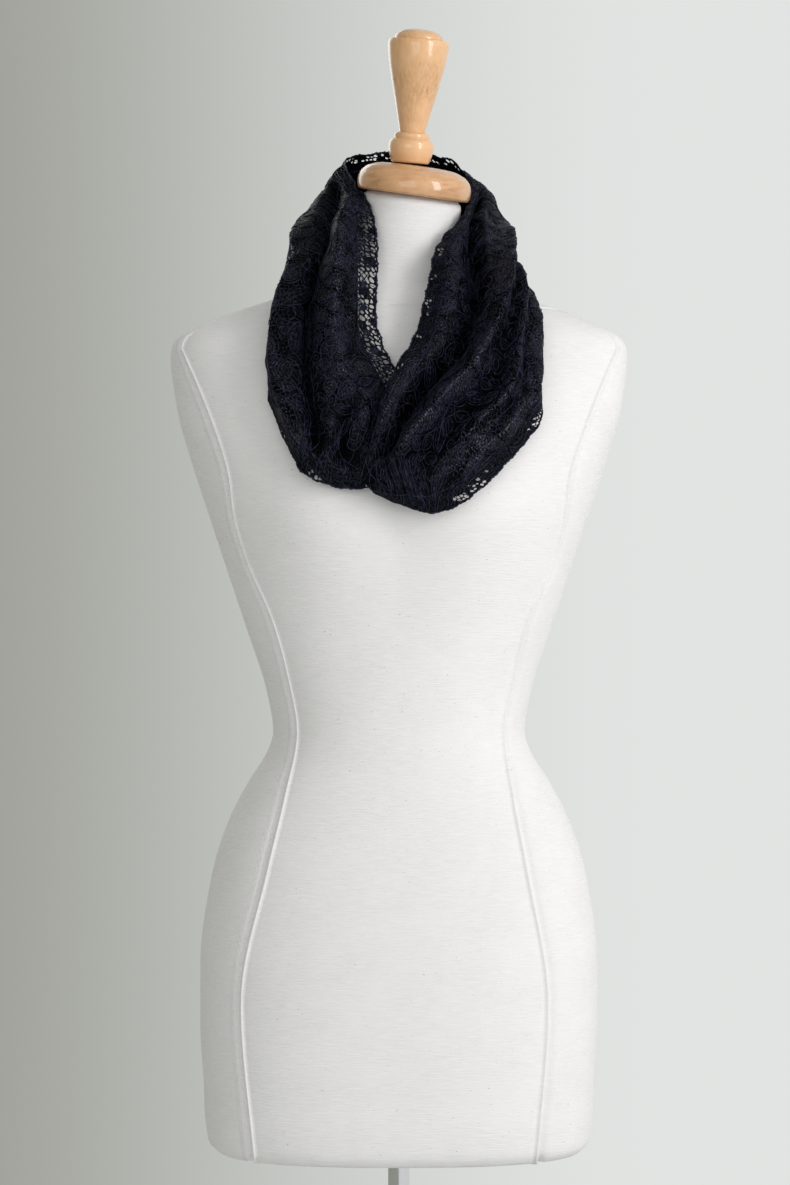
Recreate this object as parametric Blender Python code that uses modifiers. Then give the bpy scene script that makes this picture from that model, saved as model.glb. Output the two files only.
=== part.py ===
"""Lace mantilla, a wide loop of lace worn as a cowl on a limbless dress form.

Metres, +Z up, the front towards -Y, the origin under the middle of the base.
Tables are in millimetres, and MM turns them into metres.
"""

import math

import bmesh
import bpy
import numpy as np
from mathutils import Quaternion, Vector

MM = 0.001
GAP = 0.3
SHARP_ANGLE = math.radians(50)

# Stand, in millimetres
BASE_RADIUS = 150.0
BASE_EDGE = 9.0
HUB_RADIUS = 19.0
HUB_TOP = 42.0
HUB_FLOOR = 10.0
HUB_CHAMFER = 3.0
HUB_TAPER = 1.0
FLARE_TOP = 18.0
FLARE_FOOT = 13.5
FLARE_REACH = 6.0
DISC_SHOULDER = 12.0
DISC_ROUND = 4.0
FOOT_CHAMFER = 1.0
BASE_STEPS = 32
POLE_SIDES = 24
POLE_RADIUS = 9.25
SOCKET_RADIUS = POLE_RADIUS + GAP
SOCKET_DEPTH = 60.0

# Dress form, heights above the floor in millimetres
FORM_BOTTOM = 658.0
NECK_SEAM = 1368.0
NECK_TOP = 1466.0
NECK_BEND_START = 1384.0
NECK_BEND_LENGTH = 20.0
NECK_SHIFT = 1.7
NECK_SHIFT_START = 1344.0
NECK_SHIFT_LENGTH = 48.0
NECK_LEAN_RIGHT = math.radians(8.0)
NECK_LEAN_FORWARD = math.radians(7.0)
FINIAL_LEAN_RIGHT = math.radians(4.2)
FINIAL_OFFSET = 6.2
FORM_SEGMENTS = 36
BUST_HEIGHT = 1190.0
BUST_SIDE = 74.0
BUST_DEPTH = 12.0
BUST_REACH = 62.0

# A row for each section of the form, from the bottom rim up to the neck
# height, half width, front, back, middle, squareness
FORM_SECTIONS = (
    (658.0, 153.0, 97.0, 94.0, 0.0, 2.5),
    (664.0, 160.0, 103.0, 100.0, 0.0, 2.5),
    (676.0, 163.0, 106.5, 103.5, 0.0, 2.5),
    (715.0, 165.5, 109.0, 108.0, 0.0, 2.5),
    (766.0, 168.5, 110.0, 113.0, 1.0, 2.45),
    (817.0, 168.5, 109.0, 115.0, 2.0, 2.4),
    (868.0, 163.0, 104.0, 111.0, 3.0, 2.35),
    (919.0, 151.0, 97.0, 100.0, 3.0, 2.3),
    (944.0, 141.0, 93.0, 93.0, 2.0, 2.25),
    (970.0, 127.0, 89.0, 86.0, 2.0, 2.2),
    (993.0, 112.5, 85.5, 80.5, 1.0, 2.15),
    (1011.0, 107.0, 84.0, 78.0, 1.0, 2.15),
    (1046.0, 112.5, 86.0, 78.5, 1.0, 2.15),
    (1097.0, 129.0, 92.0, 84.0, 2.0, 2.2),
    (1148.0, 146.0, 101.0, 92.0, 3.0, 2.25),
    (1199.0, 163.0, 107.0, 99.0, 4.0, 2.3),
    (1250.0, 179.5, 102.0, 105.0, 6.0, 2.35),
    (1276.0, 187.0, 95.5, 106.0, 7.0, 2.4),
    (1301.0, 191.5, 87.0, 105.0, 8.0, 2.45),
    (1327.0, 194.5, 77.0, 101.0, 9.0, 2.5),
    (1344.0, 190.0, 69.0, 94.0, 10.0, 2.5),
    (1352.0, 178.0, 65.0, 90.0, 10.0, 2.45),
    (1360.0, 160.0, 61.5, 86.0, 10.0, 2.4),
    (1368.0, 138.0, 58.0, 81.0, 10.0, 2.3),
    (1376.0, 115.0, 54.0, 76.0, 10.0, 2.2),
    (1384.0, 94.0, 50.0, 71.0, 10.0, 2.1),
    (1392.0, 77.0, 46.0, 66.0, 10.0, 2.0),
    (1402.0, 63.0, 42.5, 61.5, 9.5, 2.0),
    (1415.0, 54.0, 40.0, 57.0, 8.5, 2.0),
    (1435.0, 47.0, 38.0, 54.0, 8.0, 2.0),
    (1452.0, 43.0, 35.0, 51.0, 8.0, 2.0),
    (1463.0, 41.5, 33.5, 49.5, 8.0, 2.0),
    (1466.0, 38.5, 30.5, 46.5, 8.0, 2.0),
)

# Turned profiles, radius and height, down the outer side
CAP_RADIUS = 48.5
CAP_EASE = 14.0
CAP_STEPS = 30
FINIAL_STEPS = 18
MERGE_DISTANCE = 0.00001
CAP_PROFILE = (
    (0.0, 25.4),
    (22.0, 25.0),
    (34.0, 23.6),
    (42.0, 20.4),
    (46.6, 15.6),
    (CAP_RADIUS, 10.0),
    (48.3, 4.0),
    (47.0, 0.0),
    (0.0, 0.0),
)
FINIAL_PROFILE = (
    (0.0, 112.6),
    (10.0, 111.6),
    (17.0, 109.0),
    (20.4, 105.6),
    (20.6, 104.2),
    (24.6, 103.0),
    (25.8, 100.6),
    (25.6, 96.6),
    (24.8, 89.0),
    (20.6, 68.0),
    (15.8, 48.0),
    (10.8, 25.8),
    (13.8, 25.2),
    (14.8, 23.8),
    (14.6, 20.6),
    (17.4, 19.2),
    (19.0, 15.4),
    (18.8, 10.0),
    (17.4, 4.4),
    (15.0, 0.0),
    (0.0, 0.0),
)

# A row for each section of the loop: the neck edge, how far the middle stands out and up,
# and the outer edge. Heights are above the neck seam.
# in x, in y, in z, out by, up by, out x, out y, out z
LOOP_SECTIONS = (
    ("twist end", -31, -131, -146, 2, 0, -21, -129, -158),
    ("lap low", -26, -131, -129, 8, 0, 1, -132, -168),
    ("lap middle", -19, -127, -106, 12, 0, 31, -133, -175),
    ("lap high", -11, -121, -77, 15, 0, 62, -127, -159),
    ("crossing", -1, -111, -53, 20, 0, 95, -111, -126),
    ("right chest", 12, -99, -31, 25, 0, 116, -96, -97),
    ("right collar", 20, -84, -2, 28, 2, 116, -78, -60),
    ("right neck", 25, -70, 22, 28, 6, 113, -56, -12),
    ("right shoulder", 32, -52, 50, 18, 12, 107, -24, 14),
    ("right side", 53, -21, 77, 1, 25, 106, 22, 18),
    ("right behind", 60, 28, 108, 2, 42, 104, 68, 2),
    ("nape right", 48, 52, 134, 5, 30, 66, 112, -40),
    ("nape", 10, 62, 145, 3, 36, 6, 120, -62),
    ("nape left", -40, 52, 139, 5, 30, -60, 113, -44),
    ("left behind", -44, 16, 122, 5, 31, -94, 72, 2),
    ("left side", -25, -27, 88, 15, 23, -99, 30, 24),
    ("left shoulder", -18, -50, 55, 22, 10, -89, -15, 24),
    ("left neck", -18, -64, 18, 27, 4, -101, -45, 4),
    ("left collar", -18, -76, -18, 28, 0, -109, -72, -39),
    ("left chest", -8, -88, -46, 25, 0, -106, -88, -82),
    ("left low", 2, -95, -63, 20, 0, -89, -107, -122),
    ("left hem", 8, -101, -78, 14, 0, -77, -119, -143),
    ("under lap", 11, -106, -94, 7, 0, -46, -122, -155),
    ("tuck", 8, -109, -113, 2, 0, -14, -122, -153),
)

# A row for each large fold: how far it stands out, its width across the band, and its path
# as pairs of a place along the loop, counted in sections, and a place across the band
FOLDS = (
    ("right neck roll", 5.0, 0.08, ((2.0, 0.08), (4.0, 0.09), (5.4, 0.11), (7.0, 0.11), (9.0, 0.09))),
    ("right deep valley", -10.0, 0.085, ((1.4, 0.19), (3.0, 0.19), (5.0, 0.21), (6.0, 0.25), (9.6, 0.22))),
    ("right main ridge", 8.0, 0.10, ((1.8, 0.33), (5.0, 0.35), (6.6, 0.46), (7.9, 0.56), (9.4, 0.62))),
    ("right second valley", -7.0, 0.07, ((2.0, 0.50), (4.4, 0.49), (5.8, 0.50), (6.8, 0.56), (8.2, 0.66))),
    ("right third ridge", 4.0, 0.06, ((3.0, 0.62), (5.2, 0.61), (6.0, 0.61), (6.8, 0.64), (8.0, 0.72))),
    ("right outer ridge", 6.5, 0.08, ((3.0, 0.78), (5.0, 0.80), (6.0, 0.86), (7.4, 0.90))),
    ("back upper valley", -9.0, 0.10, ((10.0, 0.58), (11.0, 0.48), (12.0, 0.42), (13.0, 0.44), (13.8, 0.50))),
    ("back middle ridge", 6.0, 0.09, ((10.4, 0.74), (11.4, 0.64), (12.0, 0.60), (12.8, 0.63), (13.8, 0.72))),
    ("back lower valley", -6.0, 0.08, ((10.8, 0.88), (11.6, 0.80), (12.0, 0.77), (12.6, 0.80), (13.4, 0.88))),
    ("left neck roll", 7.0, 0.11, ((15.0, 0.12), (16.0, 0.24), (17.4, 0.25), (18.6, 0.28), (20.8, 0.34))),
    ("left deep valley", -12.0, 0.09, ((14.4, 0.22), (15.3, 0.34), (16.3, 0.44), (18.0, 0.47), (20.2, 0.76))),
    ("left outer ridge", 5.0, 0.10, ((14.6, 0.56), (16.0, 0.70), (17.0, 0.74), (19.0, 0.82), (20.4, 0.90))),
    ("left lower valley", -8.0, 0.10, ((19.6, 0.24), (20.2, 0.44), (20.8, 0.60), (21.6, 0.68))),
)

# Lace, in millimetres
CLOTH_WALL = 1.2
CLOTH_CLEARANCE = 0.6
SEAM_GAP = 0.45
BORDER_WIDTH = 18.0
NARROWEST_BORDER = 0.22
COLUMN_PITCH = 10.6
BODY_ROWS = 12
HOLE_ROW_SHARE = 0.62
HOLE_RADIUS = 2.35
HOLE_SIDES = 6
LEAST_BRIDGE = 1.1
END_FADE = 2.2
FOLD_FADE = 0.6

# Where each stretch of the loop begins and ends, counted in sections, and where the large
# holes of its neck border begin: the lapped part of that border is turned under
STRETCHES = (
    ("right", 0.0, 10.4, 8.4),
    ("back", 10.4, 13.6, 10.4),
    ("left", 13.6, 23.0, 13.6),
)
LOOP_END = len(LOOP_SECTIONS) - 1

LINEN = (0.80, 0.78, 0.74, 1.0)
BEECH = (0.56, 0.30, 0.13, 1.0)
CHROME = (0.78, 0.79, 0.80, 1.0)
LACE = (0.010, 0.011, 0.020, 1.0)


def clear_scene():
    for obj in list(bpy.data.objects):
        bpy.data.objects.remove(obj, do_unlink=True)


def make_material(name, colour, roughness, metallic=0.0):
    material = bpy.data.materials.new(name)
    material.use_nodes = True
    shader = material.node_tree.nodes["Principled BSDF"]
    shader.inputs["Base Color"].default_value = colour
    shader.inputs["Roughness"].default_value = roughness
    shader.inputs["Metallic"].default_value = metallic
    return material


def curve_through(places, values, at):
    """Cubic curve through the values, without overshoot between them."""
    places = np.asarray(places, float)
    values = np.asarray(values, float)
    at = np.clip(at, places[0], places[-1])
    steps = np.diff(places)
    slopes = np.diff(values) / steps
    tangents = np.empty_like(values)
    tangents[0], tangents[-1] = slopes[0], slopes[-1]
    same_way = slopes[:-1] * slopes[1:] > 0
    weights = steps[1:] / (steps[:-1] + steps[1:])
    mixed = weights * slopes[:-1] + (1 - weights) * slopes[1:]
    limit = 3 * np.minimum(abs(slopes[:-1]), abs(slopes[1:]))
    tangents[1:-1] = np.where(same_way, np.clip(mixed, -limit, limit), 0.0)
    index = np.clip(np.searchsorted(places, at, side="right") - 1, 0, len(steps) - 1)
    step = steps[index]
    u = (at - places[index]) / step
    return (
        (1 + 2 * u) * (1 - u) ** 2 * values[index]
        + u * (1 - u) ** 2 * step * tangents[index]
        + u**2 * (3 - 2 * u) * values[index + 1]
        + u**2 * (u - 1) * step * tangents[index + 1]
    )


def smooth_step(value):
    value = np.clip(value, 0.0, 1.0)
    return value * value * (3 - 2 * value)


def form_section(height):
    """Half width, front, back, middle and squareness of the form at a height."""
    table = np.array(FORM_SECTIONS)
    return tuple(curve_through(table[:, 0], table[:, column], height) for column in range(1, 6))


def neck_lean():
    """The lean's angle and its level direction."""
    right = math.tan(NECK_LEAN_RIGHT)
    forward = math.tan(NECK_LEAN_FORWARD)
    run = math.hypot(right, forward)
    return math.atan(run), np.array([right / run, -forward / run])


def lean_at(height):
    """How far the neck has turned, and how far it has moved, at a height of the upright neck."""
    angle, _ = neck_lean()
    above = np.maximum(np.asarray(height, float) - NECK_BEND_START, 0.0)
    turned = angle * np.minimum(above / NECK_BEND_LENGTH, 1.0)
    bent = np.minimum(above, NECK_BEND_LENGTH)
    moved = angle * bent**2 / (2 * NECK_BEND_LENGTH) + math.tan(angle) * (above - bent)
    return turned, moved


def neck_shift(height):
    return NECK_SHIFT * smooth_step((height - NECK_SHIFT_START) / NECK_SHIFT_LENGTH)


def leaned(points):
    """Points of the upright form, moved as the neck leans."""
    points = np.array(points, float)
    _, direction = neck_lean()
    turned, moved = lean_at(points[..., 2])
    middle = form_section(points[..., 2])[3]
    along = points[..., 0] * direction[0] + (points[..., 1] - middle) * direction[1]
    shift = moved - along * (1 - np.cos(turned))
    points[..., 0] += shift * direction[0]
    points[..., 1] += shift * direction[1]
    points[..., 2] -= along * np.sin(turned)
    points[..., 0] += neck_shift(points[..., 2])
    return points


def upright(points):
    """Points near the leaning neck, moved back to the upright form."""
    points = np.array(points, float)
    _, direction = neck_lean()
    points[..., 0] -= neck_shift(points[..., 2])
    turned, moved = lean_at(points[..., 2])
    middle = form_section(points[..., 2])[3]
    points[..., 0] -= moved * direction[0]
    points[..., 1] -= moved * direction[1]
    along = points[..., 0] * direction[0] + (points[..., 1] - middle) * direction[1]
    points[..., 2] += along * np.sin(turned)
    return points


def bust_at(x, height):
    side = (np.abs(x) - BUST_SIDE) / BUST_REACH
    rise = (height - BUST_HEIGHT) / BUST_REACH
    return BUST_DEPTH * np.exp(-(side**2) - rise**2)


def form_point(height, angle):
    """A point of the form's surface, the angle counted from +X towards the back."""
    half_width, front, back, middle, squareness = form_section(height)
    cosine, sine = np.cos(angle), np.sin(angle)
    depth = np.where(sine < 0, front + middle, back - middle)
    x = half_width * np.sign(cosine) * np.abs(cosine) ** (2 / squareness)
    y = middle + depth * np.sign(sine) * np.abs(sine) ** (2 / squareness)
    y = y - bust_at(x, height) * np.maximum(-sine, 0.0) ** 2
    return leaned(np.stack(np.broadcast_arrays(x, y, height), axis=-1))


def clear_of_form(points, clearance):
    """Points moved out level from the form's middle wherever they lie nearer to it than the clearance."""
    flat = upright(points)
    half_width, front, back, middle, squareness = form_section(flat[..., 2])
    x = flat[..., 0]
    y = flat[..., 1] - middle
    forward = y < 0
    bust = bust_at(x, flat[..., 2]) * np.where(forward, 1.0, 0.0)
    depth = np.where(forward, front + middle + bust, back - middle)
    near = ((np.abs(x) / half_width) ** squareness + (np.abs(y) / depth) ** squareness) ** (1 / squareness)
    near = np.maximum(near, 1e-6)
    reach = np.hypot(x, y)
    least = np.where(flat[..., 2] > NECK_TOP, 0.0, reach / near + clearance)
    under_cap = smooth_step((flat[..., 2] - NECK_TOP + CAP_EASE) / CAP_EASE)
    least = np.maximum(least, under_cap * (CAP_RADIUS + clearance))
    move = np.maximum(least - reach, 0.0)
    out = np.array(points, float)
    out[..., 0] += move * x / np.maximum(reach, 1e-6)
    out[..., 1] += move * y / np.maximum(reach, 1e-6)
    return out


def loop_column(column, along):
    places = np.arange(len(LOOP_SECTIONS))
    return spline_through(places, [row[column] for row in LOOP_SECTIONS], along)


def spline_through(places, values, at):
    """Cubic curve through the values with the slope at each one set by its neighbours."""
    places = np.asarray(places, float)
    values = np.asarray(values, float)
    at = np.clip(at, places[0], places[-1])
    tangents = np.gradient(values, places)
    index = np.clip(np.searchsorted(places, at, side="right") - 1, 0, len(places) - 2)
    step = places[index + 1] - places[index]
    u = (at - places[index]) / step
    return (
        (1 + 2 * u) * (1 - u) ** 2 * values[index]
        + u * (1 - u) ** 2 * step * tangents[index]
        + u**2 * (3 - 2 * u) * values[index + 1]
        + u**2 * (u - 1) * step * tangents[index + 1]
    )


def plain_loop(along, across):
    """The band without its folds: a curve from the neck edge over the middle to the outer edge."""
    inner = np.stack([loop_column(column, along) for column in (1, 2, 3)], axis=-1)
    outer = np.stack([loop_column(column, along) for column in (6, 7, 8)], axis=-1)
    middle = (inner + outer) / 2
    away = middle[..., :2] / np.linalg.norm(middle[..., :2], axis=-1, keepdims=True)
    crest = middle.copy()
    crest[..., :2] += away * loop_column(4, along)[..., None]
    crest[..., 2] += loop_column(5, along)
    share = across[..., None]
    points = (
        inner * 2 * (share - 0.5) * (share - 1)
        + crest * 4 * share * (1 - share)
        + outer * 2 * share * (share - 0.5)
    )
    points[..., 2] += NECK_SEAM
    return points


def normals_of(surface, along, across):
    """Unit normals that point away from the body."""
    step = 0.01
    slope_along = surface(along + step, across) - surface(along - step, across)
    slope_across = surface(along, across + step) - surface(along, across - step)
    normals = np.cross(slope_across, slope_along)
    return normals / np.maximum(np.linalg.norm(normals, axis=-1, keepdims=True), 1e-9)


def fold_height(along, across):
    """How far the folds stand out, smaller where the band is narrow."""
    height = np.zeros(np.broadcast(along, across).shape)
    for _, depth, width, path in FOLDS:
        places = [place for place, _ in path]
        middle = curve_through(places, [side for _, side in path], along)
        start = smooth_step((along - places[0] + FOLD_FADE) / (2 * FOLD_FADE))
        end = smooth_step((places[-1] + FOLD_FADE - along) / (2 * FOLD_FADE))
        fade = start * end
        height = height + depth * fade * np.exp(-(((across - middle) / width) ** 2))
    ends = smooth_step(along / END_FADE) * smooth_step((LOOP_END - along) / END_FADE)
    return height * ends


def folded_loop(along, across):
    along, across = np.broadcast_arrays(np.asarray(along, float), np.asarray(across, float))
    points = plain_loop(along, across)
    normals = normals_of(plain_loop, along, across)
    points = points + normals * fold_height(along, across)[..., None]
    return clear_of_form(points, CLOTH_CLEARANCE + CLOTH_WALL / 2)


def band_reach(along):
    """Places across the band and their distances from the neck edge, measured on the cloth."""
    across = np.linspace(0.0, 1.0, 81)
    lengths = np.linalg.norm(np.diff(folded_loop(along, across), axis=0), axis=-1)
    return across, np.concatenate([[0.0], np.cumsum(lengths)])


def join_step(along):
    """How far along the loop half a gap reaches where the cloth's columns lie closest."""
    across = np.linspace(0.0, 1.0, 21)
    step = 0.02
    moved = folded_loop(along + step, across) - folded_loop(along - step, across)
    return SEAM_GAP / 2 / (np.linalg.norm(moved, axis=-1).min() / (2 * step))


def even_places(start, end):
    """Places along a stretch, a column pitch apart along the band's middle."""
    start, end = start + join_step(start), end - join_step(end)
    fine = np.linspace(start, end, 400)
    lengths = np.linalg.norm(np.diff(folded_loop(fine, 0.5), axis=0), axis=-1)
    run = np.concatenate([[0.0], np.cumsum(lengths)])
    count = max(int(round(run[-1] / COLUMN_PITCH)), 2)
    return np.interp(np.linspace(0.0, run[-1], count + 1), run, fine)


def seam_lines(along):
    """Where the cuts run across the band: neck border, body and outer border."""
    across, reach = band_reach(along)
    width = min(BORDER_WIDTH, NARROWEST_BORDER * reach[-1])
    cuts = (HOLE_ROW_SHARE * width, width - SEAM_GAP / 2, width + SEAM_GAP / 2)
    return np.interp(np.concatenate([cuts, reach[-1] - np.array(cuts)]), reach, across)


def strip_cells(places, lines):
    """Grid of cells: a point for each place and line, and a face for each cell."""
    points = [(place, line[column]) for column, place in enumerate(places) for line in lines]
    rows = len(lines)
    cells = {}
    for column in range(len(places) - 1):
        for row in range(rows - 1):
            corner = column * rows + row
            cells[column, row] = (corner, corner + 1, corner + rows + 1, corner + rows)
    return points, cells


def cell_with_hole(points, corners, radius_along, radius_across):
    """Adds the hole's corners, and returns the two faces around it."""
    middle = np.mean([points[corner] for corner in corners], axis=0)
    span = np.array(points[corners[0]]) - np.array(points[corners[2]])
    first_turn = math.atan2(span[1] / radius_across, span[0] / radius_along)
    hole = []
    for index in range(HOLE_SIDES):
        turn = first_turn - index * 2 * math.pi / HOLE_SIDES
        hole.append(len(points))
        points.append((middle[0] + radius_along * math.cos(turn), middle[1] + radius_across * math.sin(turn)))
    half = HOLE_SIDES // 2
    near = (corners[0], corners[1], corners[2]) + tuple(hole[index] for index in range(half, -1, -1))
    far_hole = tuple(hole[index] for index in range(HOLE_SIDES - 1, half - 1, -1))
    far = (corners[2], corners[3], corners[0], hole[0]) + far_hole
    return [near, far]


def wall_object(name, points, faces, material, collection):
    """A closed wall from a sheet of faces: an outer side, an inner side and the rims between them."""
    along, across = np.array(points).T
    middle = folded_loop(along, across)
    normals = normals_of(folded_loop, along, across)
    outer = middle + normals * CLOTH_WALL / 2
    inner = middle - normals * CLOTH_WALL / 2
    count = len(points)
    solid_faces = [tuple(face) for face in faces]
    solid_faces += [tuple(corner + count for corner in reversed(face)) for face in faces]
    edges = set()
    for face in faces:
        for start, end in zip(face, face[1:] + face[:1]):
            edges.add((start, end))
    for start, end in sorted(edges):
        if (end, start) not in edges:
            solid_faces.append((end, start, start + count, end + count))
    return mesh_object(name, np.concatenate([outer, inner]) * MM, solid_faces, material, collection)


def mesh_object(name, points, faces, material, collection):
    mesh = bpy.data.meshes.new(name)
    mesh.from_pydata([tuple(point) for point in points], [], [tuple(face) for face in faces])
    work = bmesh.new()
    work.from_mesh(mesh)
    bmesh.ops.recalc_face_normals(work, faces=work.faces)
    work.to_mesh(mesh)
    work.free()
    mesh.shade_smooth()
    mesh.set_sharp_from_angle(angle=SHARP_ANGLE)
    mesh.materials.append(material)
    obj = bpy.data.objects.new(name, mesh)
    collection.objects.link(obj)
    return obj


def make_lace(collection, material):
    """The loop's stretches: a body and two openwork borders on each."""
    for name, start, end, holes_from in STRETCHES:
        places = even_places(start, end)
        lines = np.array([seam_lines(place) for place in places]).T
        neck_hole_line, neck_end, body_start, outer_hole_line, outer_start, body_end = lines
        body_lines = np.linspace(body_start, body_end, BODY_ROWS + 1)
        points, cells = strip_cells(places, body_lines)
        wall_object(f"lace_{name}", points, list(cells.values()), material, collection)
        edge = np.zeros_like(places)
        neck = border_strip(places, [edge, neck_hole_line, neck_end], 0, holes_from)
        outer = border_strip(places, [outer_start, outer_hole_line, edge + 1], 1, start)
        wall_object(f"border_neck_{name}", *neck, material, collection)
        wall_object(f"border_outer_{name}", *outer, material, collection)


def border_strip(places, lines, hole_row, holes_from):
    """A border strip with one hole in each cell that is wide enough for it."""
    points, cells = strip_cells(places, lines)
    faces = []
    for (column, row), corners in cells.items():
        ends = folded_loop(*np.array([points[corner] for corner in corners]).T)
        long_side = (np.linalg.norm(ends[3] - ends[0]) + np.linalg.norm(ends[2] - ends[1])) / 2
        short_side = (np.linalg.norm(ends[1] - ends[0]) + np.linalg.norm(ends[2] - ends[3])) / 2
        room = min(long_side, short_side) / 2 - LEAST_BRIDGE
        at_end = column in (0, len(places) - 2) or places[column] < holes_from
        if row != hole_row or room < HOLE_RADIUS or at_end:
            faces.append(corners)
            continue
        along = (places[column + 1] - places[column]) * HOLE_RADIUS / long_side
        row_share = abs(lines[hole_row + 1][column] - lines[hole_row][column])
        across = row_share * HOLE_RADIUS / short_side
        faces += cell_with_hole(points, corners, along, across)
    return points, faces


def make_form(collection, material):
    """The body and neck as one loft, with the pole's socket open below."""
    turns = np.linspace(0.0, 2 * math.pi, FORM_SEGMENTS, endpoint=False)
    rings = []
    for height in (FORM_BOTTOM + SOCKET_DEPTH, FORM_BOTTOM):
        across = [SOCKET_RADIUS * np.cos(turns), SOCKET_RADIUS * np.sin(turns)]
        rings.append(np.stack([*across, np.full_like(turns, height)], axis=-1))
    for row in FORM_SECTIONS:
        rings.append(form_point(np.full_like(turns, row[0]), turns))
    points = np.concatenate(rings) * MM
    faces = [tuple(range(FORM_SEGMENTS))]
    for ring in range(len(rings) - 1):
        first = ring * FORM_SEGMENTS
        for index in range(FORM_SEGMENTS):
            after = (index + 1) % FORM_SEGMENTS
            faces.append(
                (first + index, first + after, first + FORM_SEGMENTS + after, first + FORM_SEGMENTS + index)
            )
    last = (len(rings) - 1) * FORM_SEGMENTS
    faces.append(tuple(last + index for index in range(FORM_SEGMENTS)))
    return mesh_object("form_body", points, faces, material, collection)


def turned_object(name, profile, steps, material, collection):
    """A profile turned round its own Z axis."""
    mesh = bpy.data.meshes.new(name)
    points = [(radius * MM, 0.0, height * MM) for radius, height in profile]
    mesh.from_pydata(points, [(index, index + 1) for index in range(len(points) - 1)], [])
    mesh.materials.append(material)
    obj = bpy.data.objects.new(name, mesh)
    collection.objects.link(obj)
    screw = obj.modifiers.new("Turn", "SCREW")
    screw.axis = "Z"
    screw.steps = steps
    screw.render_steps = steps
    screw.use_merge_vertices = True
    screw.merge_threshold = MERGE_DISTANCE
    screw.use_smooth_shade = True
    return obj


def lean_turn(right, forward):
    """Rotation that tips the Z axis to the right and forward."""
    tip = Vector((math.tan(right), -math.tan(forward), 1.0)).normalized()
    return Vector((0.0, 0.0, 1.0)).rotation_difference(tip)


def place(obj, at, turn=None):
    obj.location = Vector(at) * MM
    obj.rotation_mode = "QUATERNION"
    obj.rotation_quaternion = turn or Quaternion()


def make_woodwork(collection, material):
    """The neck cap and the finial that stands on it."""
    turn = lean_turn(NECK_LEAN_RIGHT, NECK_LEAN_FORWARD)
    top = leaned(np.array([0.0, form_section(np.array(NECK_TOP))[3], NECK_TOP]))
    up = np.array(turn @ Vector((0.0, 0.0, 1.0)))
    cap_at = top + up * GAP
    cap = turned_object("neck_cap", CAP_PROFILE, CAP_STEPS, material, collection)
    place(cap, cap_at, turn)
    tip = FINIAL_PROFILE[-2][0] * math.sin(NECK_LEAN_RIGHT - FINIAL_LEAN_RIGHT)
    level = np.array(turn @ Vector((1.0, 0.0, 0.0)))
    finial_at = cap_at + up * (CAP_PROFILE[0][1] + GAP + tip) - level * FINIAL_OFFSET
    finial = turned_object("finial", FINIAL_PROFILE, FINIAL_STEPS, material, collection)
    place(finial, finial_at, lean_turn(FINIAL_LEAN_RIGHT, NECK_LEAN_FORWARD))


def make_stand(collection, material):
    """The round base with a hub, and the pole between it and the form's socket."""
    profile = (
        (0.0, HUB_FLOOR),
        (SOCKET_RADIUS, HUB_FLOOR),
        (SOCKET_RADIUS, HUB_TOP),
        (HUB_RADIUS - HUB_CHAMFER, HUB_TOP),
        (HUB_RADIUS, HUB_TOP - HUB_CHAMFER),
        (HUB_RADIUS + HUB_TAPER, FLARE_TOP),
        (HUB_RADIUS + FLARE_REACH, FLARE_FOOT),
        (BASE_RADIUS - DISC_SHOULDER, BASE_EDGE + FOOT_CHAMFER),
        (BASE_RADIUS - DISC_ROUND, BASE_EDGE - FOOT_CHAMFER),
        (BASE_RADIUS, BASE_EDGE - FOOT_CHAMFER - DISC_ROUND),
        (BASE_RADIUS, FOOT_CHAMFER),
        (BASE_RADIUS - FOOT_CHAMFER, 0.0),
        (0.0, 0.0),
    )
    place(turned_object("base", profile, BASE_STEPS, material, collection), (0.0, 0.0, 0.0))
    foot = HUB_FLOOR + GAP
    head = FORM_BOTTOM + SOCKET_DEPTH - GAP
    bpy.ops.mesh.primitive_cylinder_add(vertices=POLE_SIDES, radius=POLE_RADIUS * MM, depth=(head - foot) * MM)
    pole = bpy.context.active_object
    pole.name = "pole"
    pole.data.name = "pole"
    pole.location.z = (head + foot) / 2 * MM
    pole.data.shade_smooth()
    pole.data.set_sharp_from_angle(angle=SHARP_ANGLE)
    pole.data.materials.append(material)
    for owner in list(pole.users_collection):
        owner.objects.unlink(pole)
    collection.objects.link(pole)


def main():
    clear_scene()
    collection = bpy.data.collections.new("lace_mantilla_on_dress_form")
    bpy.context.scene.collection.children.link(collection)
    make_lace(collection, make_material("lace", LACE, roughness=0.62))
    make_form(collection, make_material("linen", LINEN, roughness=0.9))
    make_woodwork(collection, make_material("beech", BEECH, roughness=0.32))
    make_stand(collection, make_material("chrome", CHROME, roughness=0.12, metallic=1.0))


main()
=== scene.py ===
# %% [markdown]
# # A lace mantilla on a dress form
#
# The object is a wide loop of corded lace, worn as a cowl over a limbless linen form with a
# turned beech neck cap. This lesson dresses the measured solids: each soft piece is a thin
# sheet on the same surface that its solid has, with the lace drawn flat and then wrapped on.

import math

import bpy
import numpy as np
from mathutils import Matrix, Vector


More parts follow.
